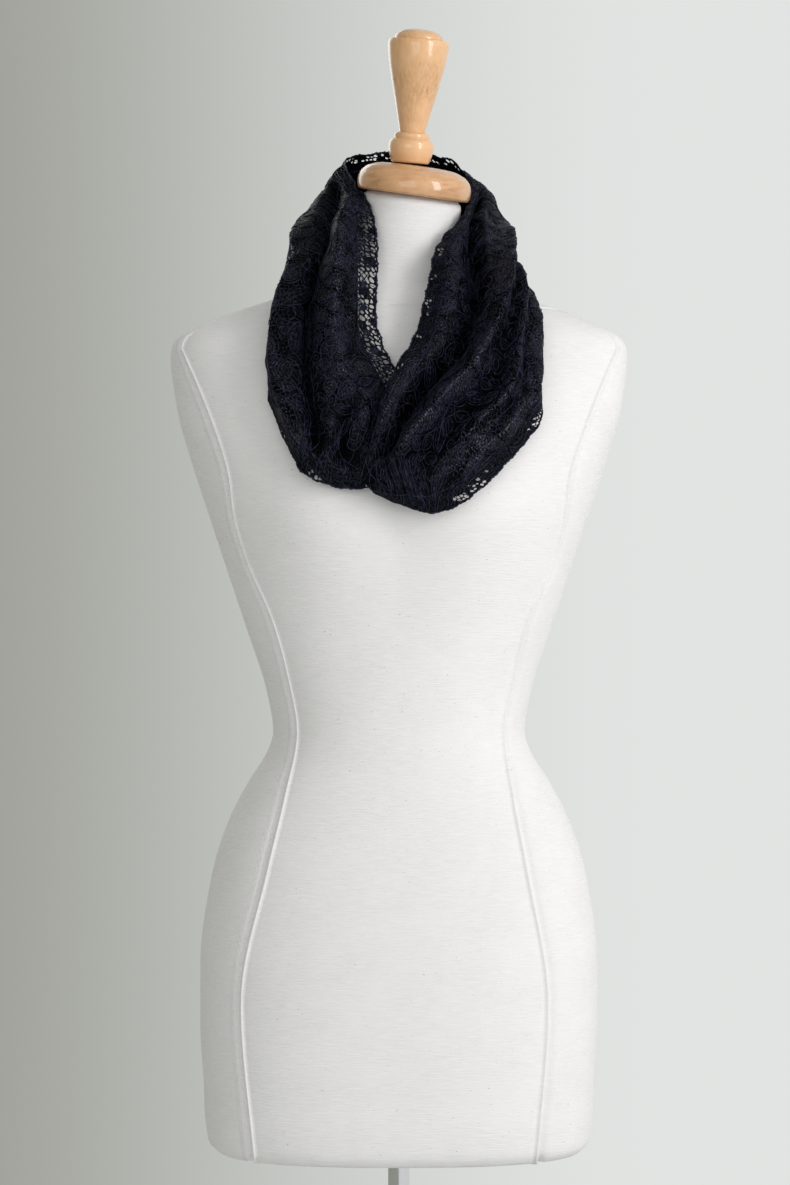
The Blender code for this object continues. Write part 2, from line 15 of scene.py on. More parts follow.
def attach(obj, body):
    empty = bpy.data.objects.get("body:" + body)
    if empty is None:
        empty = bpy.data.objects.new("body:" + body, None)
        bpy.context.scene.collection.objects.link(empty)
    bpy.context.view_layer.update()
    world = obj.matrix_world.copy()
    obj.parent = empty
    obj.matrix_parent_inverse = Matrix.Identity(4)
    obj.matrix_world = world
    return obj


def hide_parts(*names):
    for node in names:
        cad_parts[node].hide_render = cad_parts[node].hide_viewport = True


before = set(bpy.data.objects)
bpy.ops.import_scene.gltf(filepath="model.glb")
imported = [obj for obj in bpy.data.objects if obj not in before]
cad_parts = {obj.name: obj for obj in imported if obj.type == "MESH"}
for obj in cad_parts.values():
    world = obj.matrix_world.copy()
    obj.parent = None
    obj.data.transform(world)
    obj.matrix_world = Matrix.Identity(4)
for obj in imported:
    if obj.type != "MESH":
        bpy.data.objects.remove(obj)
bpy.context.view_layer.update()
MM = 0.001
print("frame loaded with", len(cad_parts), "nodes")

# %% [markdown]
# ## The camera
#
# The picture is taken level with the chest from two and a half metres away. The lens follows
# from how many millimetres of the form one photo pixel covers at that distance.

# %% Camera
PHOTO_HEIGHT = 1185
PIXEL = 0.85 * MM
CAMERA_DISTANCE = 2.6
SENSOR = 36.0

camera_data = bpy.data.cameras.new("camera")
camera_data.sensor_width = SENSOR
camera_data.lens = SENSOR * CAMERA_DISTANCE / (PHOTO_HEIGHT * PIXEL)
camera = bpy.data.objects.new("camera", camera_data)
camera.location = (-0.0034, -CAMERA_DISTANCE, 1.129)
camera.rotation_euler = (math.radians(90), 0.0, 0.0)
bpy.context.scene.collection.objects.link(camera)
bpy.context.scene.camera = camera
print(f"camera lens {camera_data.lens:.1f} mm")

# %% [markdown]
# ## Light, floor and background
#
# The light is soft and comes from the right and a little from above, as from a large window,
# so the right side of the form is bright and the left side is a quiet grey. A pale world
# fills the shadows, and a pale floor lies under the stand.

# %% Lights and floor
def area_light(name, location, target, size, power, colour):
    """A soft light of a width and a height that faces its target."""
    light = bpy.data.lights.new(name, "AREA")
    light.shape = "RECTANGLE"
    light.size, light.size_y = size
    light.energy = power
    light.color = colour
    lamp = bpy.data.objects.new(name, light)
    lamp.location = location
    lamp.rotation_euler = (Vector(target) - Vector(location)).to_track_quat("-Z", "Y").to_euler()
    bpy.context.scene.collection.objects.link(lamp)
    return lamp


CHEST = (0.0, 0.0, 1.2)
area_light("window", (1.95, -1.8, 1.75), CHEST, (0.7, 2.2), 34.0, (1.0, 0.99, 0.985))
area_light("front_fill", (-0.6, -2.6, 1.5), CHEST, (1.6, 1.6), 13.5, (0.97, 0.98, 1.0))
area_light("back_fill", (-1.2, 2.4, 2.2), CHEST, (1.8, 1.8), 16.0, (1.0, 1.0, 1.0))

world = bpy.data.worlds.new("pale_room")
world.use_nodes = True
world.node_tree.nodes["Background"].inputs["Strength"].default_value = 1.0
bpy.context.scene.world = world
bpy.context.scene.view_settings.view_transform = "Standard"

FLOOR_RADIUS = 2.6
FLOOR_SIDES = 96
floor_turns = [2 * math.pi * side / FLOOR_SIDES for side in range(FLOOR_SIDES)]
floor_ring = [(FLOOR_RADIUS * math.cos(t), FLOOR_RADIUS * math.sin(t), 0.0) for t in floor_turns]
floor_mesh = bpy.data.meshes.new("floor")
floor_mesh.from_pydata(floor_ring, [], [tuple(range(FLOOR_SIDES))])
floor = bpy.data.objects.new("floor", floor_mesh)
bpy.context.scene.collection.objects.link(floor)

# %% [markdown]
# ## Two helpers for node trees
#
# Shader and geometry trees are built from the same two steps: put down a node with its inputs
# set or joined, and set a modifier's input by the identifier of its socket.

# %% Helpers for nodes
def set_inputs(tree, node, inputs):
    """Each input set to a value, or joined to a socket or to a node's first output."""
    for name, value in inputs.items():
        if isinstance(value, bpy.types.Node):
            value = value.outputs[0]
        if isinstance(value, bpy.types.NodeSocket):
            tree.links.new(value, node.inputs[name])
        else:
            node.inputs[name].default_value = value


def add_node(tree, kind, inputs=None, **settings):
    """A node with its settings and its inputs."""
    node = tree.nodes.new(kind)
    for name, value in settings.items():
        setattr(node, name, value)
    set_inputs(tree, node, inputs or {})
    return node


def add_math(tree, operation, *values):
    return add_node(tree, "ShaderNodeMath", dict(enumerate(values)), operation=operation)


def add_relief(tree, height, strength, distance):
    return add_node(tree, "ShaderNodeBump", {"Height": height, "Strength": strength, "Distance": distance})


def mix_colours(tree, share, first, second):
    return add_node(tree, "ShaderNodeMixRGB", {"Fac": share, "Color1": first, "Color2": second})


def object_place(tree):
    return add_node(tree, "ShaderNodeTexCoord").outputs["Object"]


def add_sockets(tree, inputs, outputs):
    """Named sockets of a group, and its two end nodes."""
    for name, kind, value in inputs:
        socket = tree.interface.new_socket(name, in_out="INPUT", socket_type="NodeSocket" + kind)
        if value is not None:
            socket.default_value = value
    for name, kind in outputs:
        tree.interface.new_socket(name, in_out="OUTPUT", socket_type="NodeSocket" + kind)
    return tree.nodes.new("NodeGroupInput"), tree.nodes.new("NodeGroupOutput")


def new_material(name, **constants):
    """A material and its shader, with the values that are the same all over."""
    material = bpy.data.materials.new(name)
    material.use_nodes = True
    shader = material.node_tree.nodes["Principled BSDF"]
    for socket, value in constants.items():
        shader.inputs[socket.replace("_", " ")].default_value = value
    return material, material.node_tree, shader


# %% [markdown]
# ## A room that is brighter on one side
#
# The room is pale grey-green in the shade and nearly white by the window, so the world is a
# gradient from its left to its right. It does two jobs: it is the quiet background, and it
# gives the left side of everything a greyer light than the right.

# %% World gradient
tree = world.node_tree
sky_place = add_node(tree, "ShaderNodeTexCoord").outputs["Generated"]
sky_side = add_node(tree, "ShaderNodeSeparateXYZ", {"Vector": sky_place})
to_window = add_node(
    tree,
    "ShaderNodeMapRange",
    {"Value": sky_side, "From Min": -0.17, "From Max": 0.09},
    interpolation_type="SMOOTHSTEP",
)
sky = mix_colours(tree, to_window, (0.33, 0.335, 0.30, 1.0), (0.755, 0.775, 0.76, 1.0))
set_inputs(tree, tree.nodes["Background"], {"Color": sky})
print("world runs from shade to window")

# %% [markdown]
# ## Shared effects
#
# Three effects serve several finishes. Mottle is the slow change of colour that no real
# surface is without. Streaks are stretched along one axis, as grain and slubs are. The net is
# the ground of the lace: fine threads around small dark holes.

# %% Group: mottle
mottle = bpy.data.node_groups.new("mottle", "ShaderNodeTree")
start, end = add_sockets(
    mottle,
    (
        ("Vector", "Vector", None),
        ("Scale", "Float", 40.0),
        ("First Colour", "Color", None),
        ("Second Colour", "Color", None),
    ),
    (("Colour", "Color"), ("Value", "Float")),
)
given = start.outputs
cloud = add_node(
    mottle,
    "ShaderNodeTexNoise",
    {"Vector": given["Vector"], "Scale": given["Scale"], "Detail": 3.0, "Roughness": 0.6},
)
spread = add_node(mottle, "ShaderNodeMapRange", {"Value": cloud, "From Min": 0.35, "From Max": 0.65})
blend = mix_colours(mottle, spread, given["First Colour"], given["Second Colour"])
set_inputs(mottle, end, {"Colour": blend, "Value": spread})


def add_mottle(tree, place, scale, *shades):
    """Mottle put into a tree, with its two shades where its colour is used."""
    named = dict(zip(("First Colour", "Second Colour"), shades))
    return add_node(tree, "ShaderNodeGroup", {"Vector": place, "Scale": scale, **named}, node_tree=mottle)


# %% Group: streaks
streaks = bpy.data.node_groups.new("streaks", "ShaderNodeTree")
start, end = add_sockets(
    streaks,
    (
        ("Vector", "Vector", None),
        ("Stretch", "Vector", (60.0, 60.0, 6.0)),
        ("Low", "Float", 0.3),
        ("High", "Float", 0.7),
    ),
    (("Value", "Float"),),
)
given = start.outputs
stretched = add_node(
    streaks, "ShaderNodeVectorMath", {0: given["Vector"], 1: given["Stretch"]}, operation="MULTIPLY"
)
lines = add_node(
    streaks,
    "ShaderNodeTexNoise",
    {"Vector": stretched, "Scale": 1.0, "Detail": 4.0, "Roughness": 0.55, "Distortion": 0.4},
)
levels = add_node(
    streaks, "ShaderNodeMapRange", {"Value": lines, "From Min": given["Low"], "From Max": given["High"]}
)
set_inputs(streaks, end, {"Value": levels})

# %% Group: lace net
lace_net = bpy.data.node_groups.new("lace_net", "ShaderNodeTree")
start, end = add_sockets(
    lace_net,
    (("Vector", "Vector", None), ("Meshes Per Metre", "Float", 280.0), ("Thread Share", "Float", 0.16)),
    (("Thread", "Float"),),
)
given = start.outputs
meshes = add_node(
    lace_net,
    "ShaderNodeTexVoronoi",
    {"Vector": given["Vector"], "Scale": given["Meshes Per Metre"], "Randomness": 0.75},
    feature="DISTANCE_TO_EDGE",
    voronoi_dimensions="2D",
)
thread = add_node(
    lace_net, "ShaderNodeMapRange", {"Value": meshes, "From Min": given["Thread Share"], "From Max": 0.02}
)
set_inputs(lace_net, end, {"Thread": thread})
print("groups:", [tree.name for tree in bpy.data.node_groups])

# %% [markdown]
# ## Curves through measured rows
#
# The form and the lace are both given by rows of measurements. Two curves join the rows: one
# never overshoots, for the form, and one keeps its slope from row to row, for the cloth.

# %% Curves through rows
def curve_through(places, values, at):
    """Cubic curve through the values, without overshoot between them."""
    places = np.asarray(places, float)
    values = np.asarray(values, float)
    at = np.clip(at, places[0], places[-1])
    steps = np.diff(places)
    slopes = np.diff(values) / steps
    tangents = np.empty_like(values)
    tangents[0], tangents[-1] = slopes[0], slopes[-1]
    same_way = slopes[:-1] * slopes[1:] > 0
    weights = steps[1:] / (steps[:-1] + steps[1:])
    mixed = weights * slopes[:-1] + (1 - weights) * slopes[1:]
    limit = 3 * np.minimum(abs(slopes[:-1]), abs(slopes[1:]))
    tangents[1:-1] = np.where(same_way, np.clip(mixed, -limit, limit), 0.0)
    return hermite(places, values, tangents, at)


def spline_through(places, values, at):
    """Cubic curve through the values with the slope at each one set by its neighbours."""
    places = np.asarray(places, float)
    values = np.asarray(values, float)
    return hermite(places, values, np.gradient(values, places), np.clip(at, places[0], places[-1]))


def hermite(places, values, tangents, at):
    index = np.clip(np.searchsorted(places, at, side="right") - 1, 0, len(places) - 2)
    step = places[index + 1] - places[index]
    u = (at - places[index]) / step
    return (
        (1 + 2 * u) * (1 - u) ** 2 * values[index]
        + u * (1 - u) ** 2 * step * tangents[index]
        + u**2 * (3 - 2 * u) * values[index + 1]
        + u**2 * (u - 1) * step * tangents[index + 1]
    )


def smooth_step(value):
    value = np.clip(value, 0.0, 1.0)
    return value * value * (3 - 2 * value)


def unit(vectors):
    return vectors / np.maximum(np.linalg.norm(vectors, axis=-1, keepdims=True), 1e-9)


def run_along(line):
    """The distance along a line of points, at each point."""
    return np.concatenate([[0.0], np.cumsum(np.linalg.norm(np.diff(line, axis=0), axis=-1))])


# %% [markdown]
# ## The shape of the form
#
# A padded form is a stack of rounded sections. Each row gives a height, the half width, the
# depth to the front and the back, where its middle lies, and how square it is. The neck
# leans a little, so points are made upright first and leaned afterwards.

# %% Form sections
NECK_SEAM = 1368.0
NECK_TOP = 1466.0
NECK_BEND_START = 1384.0
NECK_BEND_LENGTH = 20.0
NECK_SHIFT = 1.7
NECK_SHIFT_START = 1344.0
NECK_SHIFT_LENGTH = 48.0
NECK_LEAN_RIGHT = math.radians(8.0)
NECK_LEAN_FORWARD = math.radians(7.0)
FINIAL_LEAN_RIGHT = math.radians(4.2)
FINIAL_OFFSET = 6.2
FORM_BOTTOM = 658.0
SOCKET_DEPTH = 60.0
SOCKET_RADIUS = 9.55
BUST_HEIGHT = 1190.0
BUST_SIDE = 74.0
BUST_DEPTH = 12.0
BUST_REACH = 62.0

# height, half width, front, back, middle, squareness
FORM_SECTIONS = (
    (658.0, 153.0, 97.0, 94.0, 0.0, 2.5),
    (664.0, 160.0, 103.0, 100.0, 0.0, 2.5),
    (676.0, 163.0, 106.5, 103.5, 0.0, 2.5),
    (715.0, 165.5, 109.0, 108.0, 0.0, 2.5),
    (766.0, 168.5, 110.0, 113.0, 1.0, 2.45),
    (817.0, 168.5, 109.0, 115.0, 2.0, 2.4),
    (868.0, 163.0, 104.0, 111.0, 3.0, 2.35),
    (919.0, 151.0, 97.0, 100.0, 3.0, 2.3),
    (944.0, 141.0, 93.0, 93.0, 2.0, 2.25),
    (970.0, 127.0, 89.0, 86.0, 2.0, 2.2),
    (993.0, 112.5, 85.5, 80.5, 1.0, 2.15),
    (1011.0, 107.0, 84.0, 78.0, 1.0, 2.15),
    (1046.0, 112.5, 86.0, 78.5, 1.0, 2.15),
    (1097.0, 129.0, 92.0, 84.0, 2.0, 2.2),
    (1148.0, 146.0, 101.0, 92.0, 3.0, 2.25),
    (1199.0, 163.0, 107.0, 99.0, 4.0, 2.3),
    (1250.0, 179.5, 102.0, 105.0, 6.0, 2.35),
    (1276.0, 187.0, 95.5, 106.0, 7.0, 2.4),
    (1301.0, 191.5, 87.0, 105.0, 8.0, 2.45),
    (1327.0, 194.5, 77.0, 101.0, 9.0, 2.5),
    (1344.0, 190.0, 69.0, 94.0, 10.0, 2.5),
    (1352.0, 178.0, 65.0, 90.0, 10.0, 2.45),
    (1360.0, 160.0, 61.5, 86.0, 10.0, 2.4),
    (1368.0, 138.0, 58.0, 81.0, 10.0, 2.3),
    (1376.0, 115.0, 54.0, 76.0, 10.0, 2.2),
    (1384.0, 94.0, 50.0, 71.0, 10.0, 2.1),
    (1392.0, 77.0, 46.0, 66.0, 10.0, 2.0),
    (1402.0, 63.0, 42.5, 61.5, 9.5, 2.0),
    (1415.0, 54.0, 40.0, 57.0, 8.5, 2.0),
    (1435.0, 47.0, 38.0, 54.0, 8.0, 2.0),
    (1452.0, 43.0, 35.0, 51.0, 8.0, 2.0),
    (1463.0, 41.5, 33.5, 49.5, 8.0, 2.0),
    (1466.0, 38.5, 30.5, 46.5, 8.0, 2.0),
)


# %% Points of the form
def form_section(height):
    """Half width, front, back, middle and squareness of the form at a height."""
    table = np.array(FORM_SECTIONS)
    return tuple(curve_through(table[:, 0], table[:, column], height) for column in range(1, 6))


def neck_lean():
    """The lean's angle and its level direction."""
    right = math.tan(NECK_LEAN_RIGHT)
    forward = math.tan(NECK_LEAN_FORWARD)
    run = math.hypot(right, forward)
    return math.atan(run), np.array([right / run, -forward / run])


def lean_at(height):
    """How far the neck has turned and moved at a height of the upright neck."""
    angle, _ = neck_lean()
    above = np.maximum(np.asarray(height, float) - NECK_BEND_START, 0.0)
    turned = angle * np.minimum(above / NECK_BEND_LENGTH, 1.0)
    bent = np.minimum(above, NECK_BEND_LENGTH)
    moved = angle * bent**2 / (2 * NECK_BEND_LENGTH) + math.tan(angle) * (above - bent)
    return turned, moved


def neck_shift(height):
    return NECK_SHIFT * smooth_step((height - NECK_SHIFT_START) / NECK_SHIFT_LENGTH)


def leaned(points):
    """Points of the upright form, moved as the neck leans."""
    points = np.array(points, float)
    _, direction = neck_lean()
    turned, moved = lean_at(points[..., 2])
    middle = form_section(points[..., 2])[3]
    along = points[..., 0] * direction[0] + (points[..., 1] - middle) * direction[1]
    shift = moved - along * (1 - np.cos(turned))
    points[..., 0] += shift * direction[0]
    points[..., 1] += shift * direction[1]
    points[..., 2] -= along * np.sin(turned)
    points[..., 0] += neck_shift(points[..., 2])
    return points


def upright(points):
    """Points near the leaning neck, moved back to the upright form."""
    points = np.array(points, float)
    _, direction = neck_lean()
    points[..., 0] -= neck_shift(points[..., 2])
    turned, moved = lean_at(points[..., 2])
    middle = form_section(points[..., 2])[3]
    points[..., 0] -= moved * direction[0]
    points[..., 1] -= moved * direction[1]
    along = points[..., 0] * direction[0] + (points[..., 1] - middle) * direction[1]
    points[..., 2] += along * np.sin(turned)
    return points


def bust_at(x, height):
    side = (np.abs(x) - BUST_SIDE) / BUST_REACH
    rise = (height - BUST_HEIGHT) / BUST_REACH
    return BUST_DEPTH * np.exp(-(side**2) - rise**2)


def form_point(height, angle):
    """A point of the form's surface, the angle counted from +X towards the back."""
    half_width, front, back, middle, squareness = form_section(height)
    cosine, sine = np.cos(angle), np.sin(angle)
    depth = np.where(sine < 0, front + middle, back - middle)
    x = half_width * np.sign(cosine) * np.abs(cosine) ** (2 / squareness)
    y = middle + depth * np.sign(sine) * np.abs(sine) ** (2 / squareness)
    y = y - bust_at(x, height) * np.maximum(-sine, 0.0) ** 2
    return leaned(np.stack(np.broadcast_arrays(x, y, height), axis=-1))


print("form is", 2 * max(row[1] for row in FORM_SECTIONS), "mm wide at the shoulders")

# %% [markdown]
# ## Making a mesh from numbers
#
# Every piece below ends as points and faces. This helper makes the object at the origin,
# gives it a UV map in real millimetres where a pattern follows the surface, and smooths it.

# %% Mesh helper
def piece_from(name, points, faces, material, uv=None, values=None):
    """A named object from points in millimetres, with flat lengths as its UV map."""
    mesh = bpy.data.meshes.new(name)
    mesh.from_pydata((np.asarray(points) * MM).tolist(), [], faces)
    if uv is not None:
        corners = np.empty(len(mesh.loops), np.int32)
        mesh.loops.foreach_get("vertex_index", corners)
        layer = mesh.uv_layers.new(name="flat")
        layer.data.foreach_set("uv", (np.asarray(uv)[corners] * MM).ravel().astype(np.float32))
    for key, row in (values or {}).items():
        mesh.attributes.new(key, "FLOAT", "POINT").data.foreach_set("value", row.astype(np.float32))
    mesh.materials.append(material)
    mesh.validate()
    mesh.shade_smooth()
    obj = bpy.data.objects.new(name, mesh)
    bpy.context.scene.collection.objects.link(obj)
    return obj


def grid_faces(columns, rows, first=0, closed=False, flip=False):
    """Four-sided faces of a grid whose points run along its rows."""
    faces = []
    for column in range(columns if closed else columns - 1):
        after = (column + 1) % columns
        for row in range(rows - 1):
            face = (
                first + column * rows + row,
                first + after * rows + row,
                first + after * rows + row + 1,
                first + column * rows + row + 1,
            )
            faces.append(face[::-1] if flip else face)
    return faces


def end_faces(columns, rows):
    """The two many-sided faces that close a ring of columns."""
    first = tuple(column * rows for column in range(columns))
    return [first[::-1], tuple(corner + rows - 1 for corner in first)]


def closed_sheet(outer_points, inner_points, faces):
    """Points and faces of a thin closed sheet, with rims round its holes and edges."""
    corner, second, third = (outer_points[index] for index in faces[0][:3])
    if np.cross(second - corner, third - corner) @ (corner - inner_points[faces[0][0]]) < 0:
        faces = [tuple(reversed(face)) for face in faces]
    count = len(outer_points)
    sides = {(a, b) for face in faces for a, b in zip(face, face[1:] + face[:1])}
    closed = faces + [tuple(corner + count for corner in reversed(face)) for face in faces]
    closed += [(b, a, a + count, b + count) for a, b in sorted(sides) if (b, a) not in sides]
    return np.concatenate([outer_points, inner_points]), closed


def dress(piece, node=None):
    """Lets a piece ride on the object, hides the node that it stands for, and prints its triangle count."""
    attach(piece, "root")
    if node:
        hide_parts(node)
    piece.data.calc_loop_triangles()
    print(piece.name, len(piece.data.loop_triangles), "triangles")


# %% [markdown]
# ## Linen for the form's cover
#
# The cover is an off-white linen jersey. Its threads run level and are uneven: some are a
# little thicker, and here and there a short dark slub is caught in. The bump is fine, because
# at this distance the weave is only just there.

# %% Linen
linen, tree, shader = new_material(
    "off_white_linen", Roughness=0.88, Sheen_Weight=0.12, Sheen_Roughness=0.5, Specular_IOR_Level=0.25
)
flat = add_node(tree, "ShaderNodeUVMap", uv_map="flat")
threads = add_node(
    tree, "ShaderNodeGroup", {"Vector": flat, "Stretch": (70.0, 1250.0, 1.0)}, node_tree=streaks
)
slubs = add_node(
    tree,
    "ShaderNodeGroup",
    {"Vector": flat, "Stretch": (330.0, 760.0, 1.0), "Low": 0.675, "High": 0.74},
    node_tree=streaks,
)
clouds = add_mottle(tree, flat, 26.0, (0.755, 0.736, 0.742, 1.0), (0.795, 0.777, 0.784, 1.0))
woven = mix_colours(tree, threads, clouds, (0.832, 0.814, 0.822, 1.0))
specked = mix_colours(tree, slubs, woven, (0.42, 0.39, 0.36, 1.0))
set_inputs(tree, shader, {"Base Color": specked, "Normal": add_relief(tree, threads, 0.5, 0.0005)})
print("finish:", linen.name)

# %% [markdown]
# ## The form, with its seams
#
# The cover is cut in panels. On the front two seams run from the shoulders in to the waist
# and out over the hips, each with a thin piped edge beside a narrow groove, and one seam
# rings the neck. The grid's columns follow those seams, so few faces draw a crisp line.

# %% Where the front seams run
# height, the seam at the left, the seam at the right
SEAM_ROWS = (
    (665.0, -119.0, 113.0),
    (790.0, -129.7, 122.0),
    (900.0, -108.0, 105.0),
    (960.0, -94.0, 94.0),
    (1013.0, -84.2, 87.2),
    (1057.0, -91.4, 95.2),
    (1107.0, -105.0, 107.3),
    (1156.0, -126.0, 129.0),
    (1185.0, -135.0, 136.5),
    (1230.0, -141.5, 142.5),
    (1270.0, -154.5, 156.0),
    (1312.0, -172.0, 173.0),
    (1338.0, -184.0, 185.0),
)
SEAM_STEPS = np.array([-4.0, -1.5, -0.8, 0.0, 0.8, 1.5, 2.4, 3.9, 5.4, 7.0, 9.0])
SEAM_RELIEF = np.array([0.0, -0.3, 1.0, 1.5, 1.0, -1.0, -2.3, -2.7, -2.2, -1.0, 0.0])
NECK_STEPS = (-2.4, -1.2, -0.5, 0.0, 0.5, 1.2, 2.4)
NECK_RELIEF = (0.0, 0.35, -0.6, -1.8, -0.6, 0.35, 0.0)


def seam_angle(height, side):
    """The angle at which the form's front has the seam's place, at each height."""
    table = np.array(SEAM_ROWS)
    wanted = curve_through(table[:, 0], table[:, 1 + side], height)
    low, high = (-math.pi, -math.pi / 2) if side == 0 else (-math.pi / 2, 0.0)
    for _ in range(40):
        middle = (low + high) / 2
        beyond = form_point(height, middle)[..., 0] > wanted
        low, high = np.where(beyond, low, middle), np.where(beyond, middle, high)
    return (low + high) / 2


# %% Build the form
FRONT_COLUMNS = 64
REAR_COLUMNS = 120
ROW_PITCH = 4.6
even_rows = np.arange(FORM_BOTTOM, NECK_TOP, ROW_PITCH)
even_rows = even_rows[np.abs(even_rows - NECK_SEAM) > 4.0]
rows = np.unique(np.concatenate([even_rows, NECK_SEAM + np.array(NECK_STEPS), [664.0, 661.0, 1463.0, NECK_TOP]]))
left_seam = np.array([float(seam_angle(np.array(row), 0)) for row in rows])
right_seam = np.array([float(seam_angle(np.array(row), 1)) for row in rows])
last_seam = rows > SEAM_ROWS[-1][0]
left_seam[last_seam] = left_seam[~last_seam][-1]
right_seam[last_seam] = right_seam[~last_seam][-1]


def millimetres_per_turn(height, angle):
    step = 0.002
    return np.linalg.norm(form_point(height, angle + step) - form_point(height, angle - step), axis=-1) / (2 * step)


def row_angles(index):
    """The angles of one ring and how far each column stands out or in."""
    height = rows[index]
    left, right = left_seam[index], right_seam[index]
    left_steps = -SEAM_STEPS[::-1] / millimetres_per_turn(height, left)
    right_steps = SEAM_STEPS / millimetres_per_turn(height, right)
    near_left, near_right = left + left_steps, right + right_steps
    front = np.linspace(near_left[-1], near_right[0], FRONT_COLUMNS + 2)[1:-1]
    rear = np.linspace(near_right[-1], near_left[0] + 2 * math.pi, REAR_COLUMNS + 2)[1:-1]
    angles = np.concatenate([near_left, front, near_right, rear])
    lift = np.concatenate([SEAM_RELIEF[::-1], np.zeros(FRONT_COLUMNS), SEAM_RELIEF, np.zeros(REAR_COLUMNS)])
    return angles, lift


ring_angles, ring_lift = zip(*(row_angles(index) for index in range(len(rows))))
ring_angles = np.array(ring_angles)
lift = np.array(ring_lift) * smooth_step((1352.0 - rows) / 10.0)[:, None]
lift += np.interp(rows - NECK_SEAM, NECK_STEPS, NECK_RELIEF, left=0.0, right=0.0)[:, None]
lift += -1.3 * np.exp(-(((ring_angles - math.pi / 2) / 0.012) ** 2)) * (rows < 1360.0)[:, None]
body = form_point(rows[:, None], ring_angles)
around = np.roll(body, -1, axis=1) - np.roll(body, 1, axis=1)
outward = unit(np.cross(around, np.gradient(body, axis=0)))
body = body + outward * lift[..., None]

# %% Close the form and put it on its node
socket = []
socket_turns = ring_angles[0]
for height in (FORM_BOTTOM + SOCKET_DEPTH, FORM_BOTTOM):
    ring = np.stack([SOCKET_RADIUS * np.cos(socket_turns), SOCKET_RADIUS * np.sin(socket_turns)], axis=-1)
    socket.append(np.concatenate([ring, np.full((len(ring), 1), height)], axis=1))
rings = np.concatenate([np.array(socket), body])
columns = rings.shape[1]
around_length = np.cumsum(np.linalg.norm(around, axis=-1) / 2, axis=1)
ring_length = np.concatenate([around_length[:1], around_length[:1], around_length])
ring_height = np.concatenate([[FORM_BOTTOM - 60.0, FORM_BOTTOM - 30.0], rows])
form_uv = np.stack([ring_length, np.broadcast_to(ring_height[:, None], ring_length.shape)], axis=-1)
form_points = rings.transpose(1, 0, 2).reshape(-1, 3)
form_faces = grid_faces(columns, len(rings), closed=True) + end_faces(columns, len(rings))
flat_uv = form_uv.transpose(1, 0, 2).reshape(-1, 2)
form_cover = piece_from("form_cover", form_points, form_faces, linen, flat_uv)
dress(form_cover, "form_body")

# %% [markdown]
# ## Beech and chrome
#
# The cap and the finial are turned from beech and varnished. The grain runs up the finial and
# is seen end on in the cap, so the streaks are long in the finial and the coat over both is
# clear and glossy. The pole and the base are polished chrome, with the faint haze that
# handling leaves.

# %% Beech
def beech_finish(name, stretch, scale, dark, light):
    """Varnished beech whose streaks are drawn out by the stretch."""
    beech, tree, shader = new_material(name, Roughness=0.36, Coat_Weight=0.75, Coat_Roughness=0.07)
    place = object_place(tree)
    grain = add_node(tree, "ShaderNodeGroup", {"Vector": place, "Stretch": stretch}, node_tree=streaks)
    grained = mix_colours(tree, grain, add_mottle(tree, place, scale, dark, light), light)
    set_inputs(tree, shader, {"Base Color": grained, "Normal": add_relief(tree, grain, 0.08, 0.0003)})
    return beech


finial_beech = beech_finish(
    "beech_finial", (520.0, 520.0, 14.0), 30.0, (0.50, 0.255, 0.105, 1.0), (0.78, 0.46, 0.235, 1.0)
)
cap_beech = beech_finish(
    "beech_cap", (70.0, 70.0, 360.0), 40.0, (0.47, 0.23, 0.095, 1.0), (0.68, 0.38, 0.19, 1.0)
)

# %% Chrome
chrome, tree, shader = new_material("polished_chrome", Metallic=1.0, Base_Color=(0.74, 0.75, 0.76, 1.0))
haze = add_mottle(tree, object_place(tree), 70.0).outputs["Value"]
dullness = add_node(tree, "ShaderNodeMapRange", {"Value": haze, "To Min": 0.07, "To Max": 0.16})
set_inputs(tree, shader, {"Roughness": dullness})
print("finishes:", finial_beech.name, cap_beech.name, chrome.name)

# %% [markdown]
# ## Turned pieces
#
# A turned piece is one profile spun round its axis. The rounded runs of each profile are
# drawn with a smooth curve through a few radii, and the sharp steps are kept as steps.

# %% Turning
def turned(name, profile, material, at=(0.0, 0.0, 0.0), lean=(0.0, 0.0), sides=96):
    """A profile of radius and height spun round its own axis, then leaned and placed."""
    radii, heights = np.array(profile, float).T
    turns = np.linspace(0.0, 2 * math.pi, sides, endpoint=False)
    ring = np.stack(
        [
            radii[None, :] * np.cos(turns)[:, None],
            radii[None, :] * np.sin(turns)[:, None],
            np.broadcast_to(heights, (sides, len(heights))),
        ],
        axis=-1,
    )
    tip = Vector((math.tan(lean[0]), -math.tan(lean[1]), 1.0)).normalized()
    turn = np.array(Vector((0.0, 0.0, 1.0)).rotation_difference(tip).to_matrix())
    points = ring.reshape(-1, 3) @ turn.T + np.array(at)
    faces = grid_faces(sides, len(heights), closed=True) + end_faces(sides, len(heights))
    return piece_from(name, points, faces, material)


def rounded(rows, steps=5):
    """A smooth run through the rows of a profile."""
    rows = np.array(rows, float)
    run = run_along(rows)
    at = np.linspace(0.0, run[-1], (len(rows) - 1) * steps + 1)
    return [tuple(point) for point in np.stack([spline_through(run, rows[:, k], at) for k in (0, 1)], axis=1)]


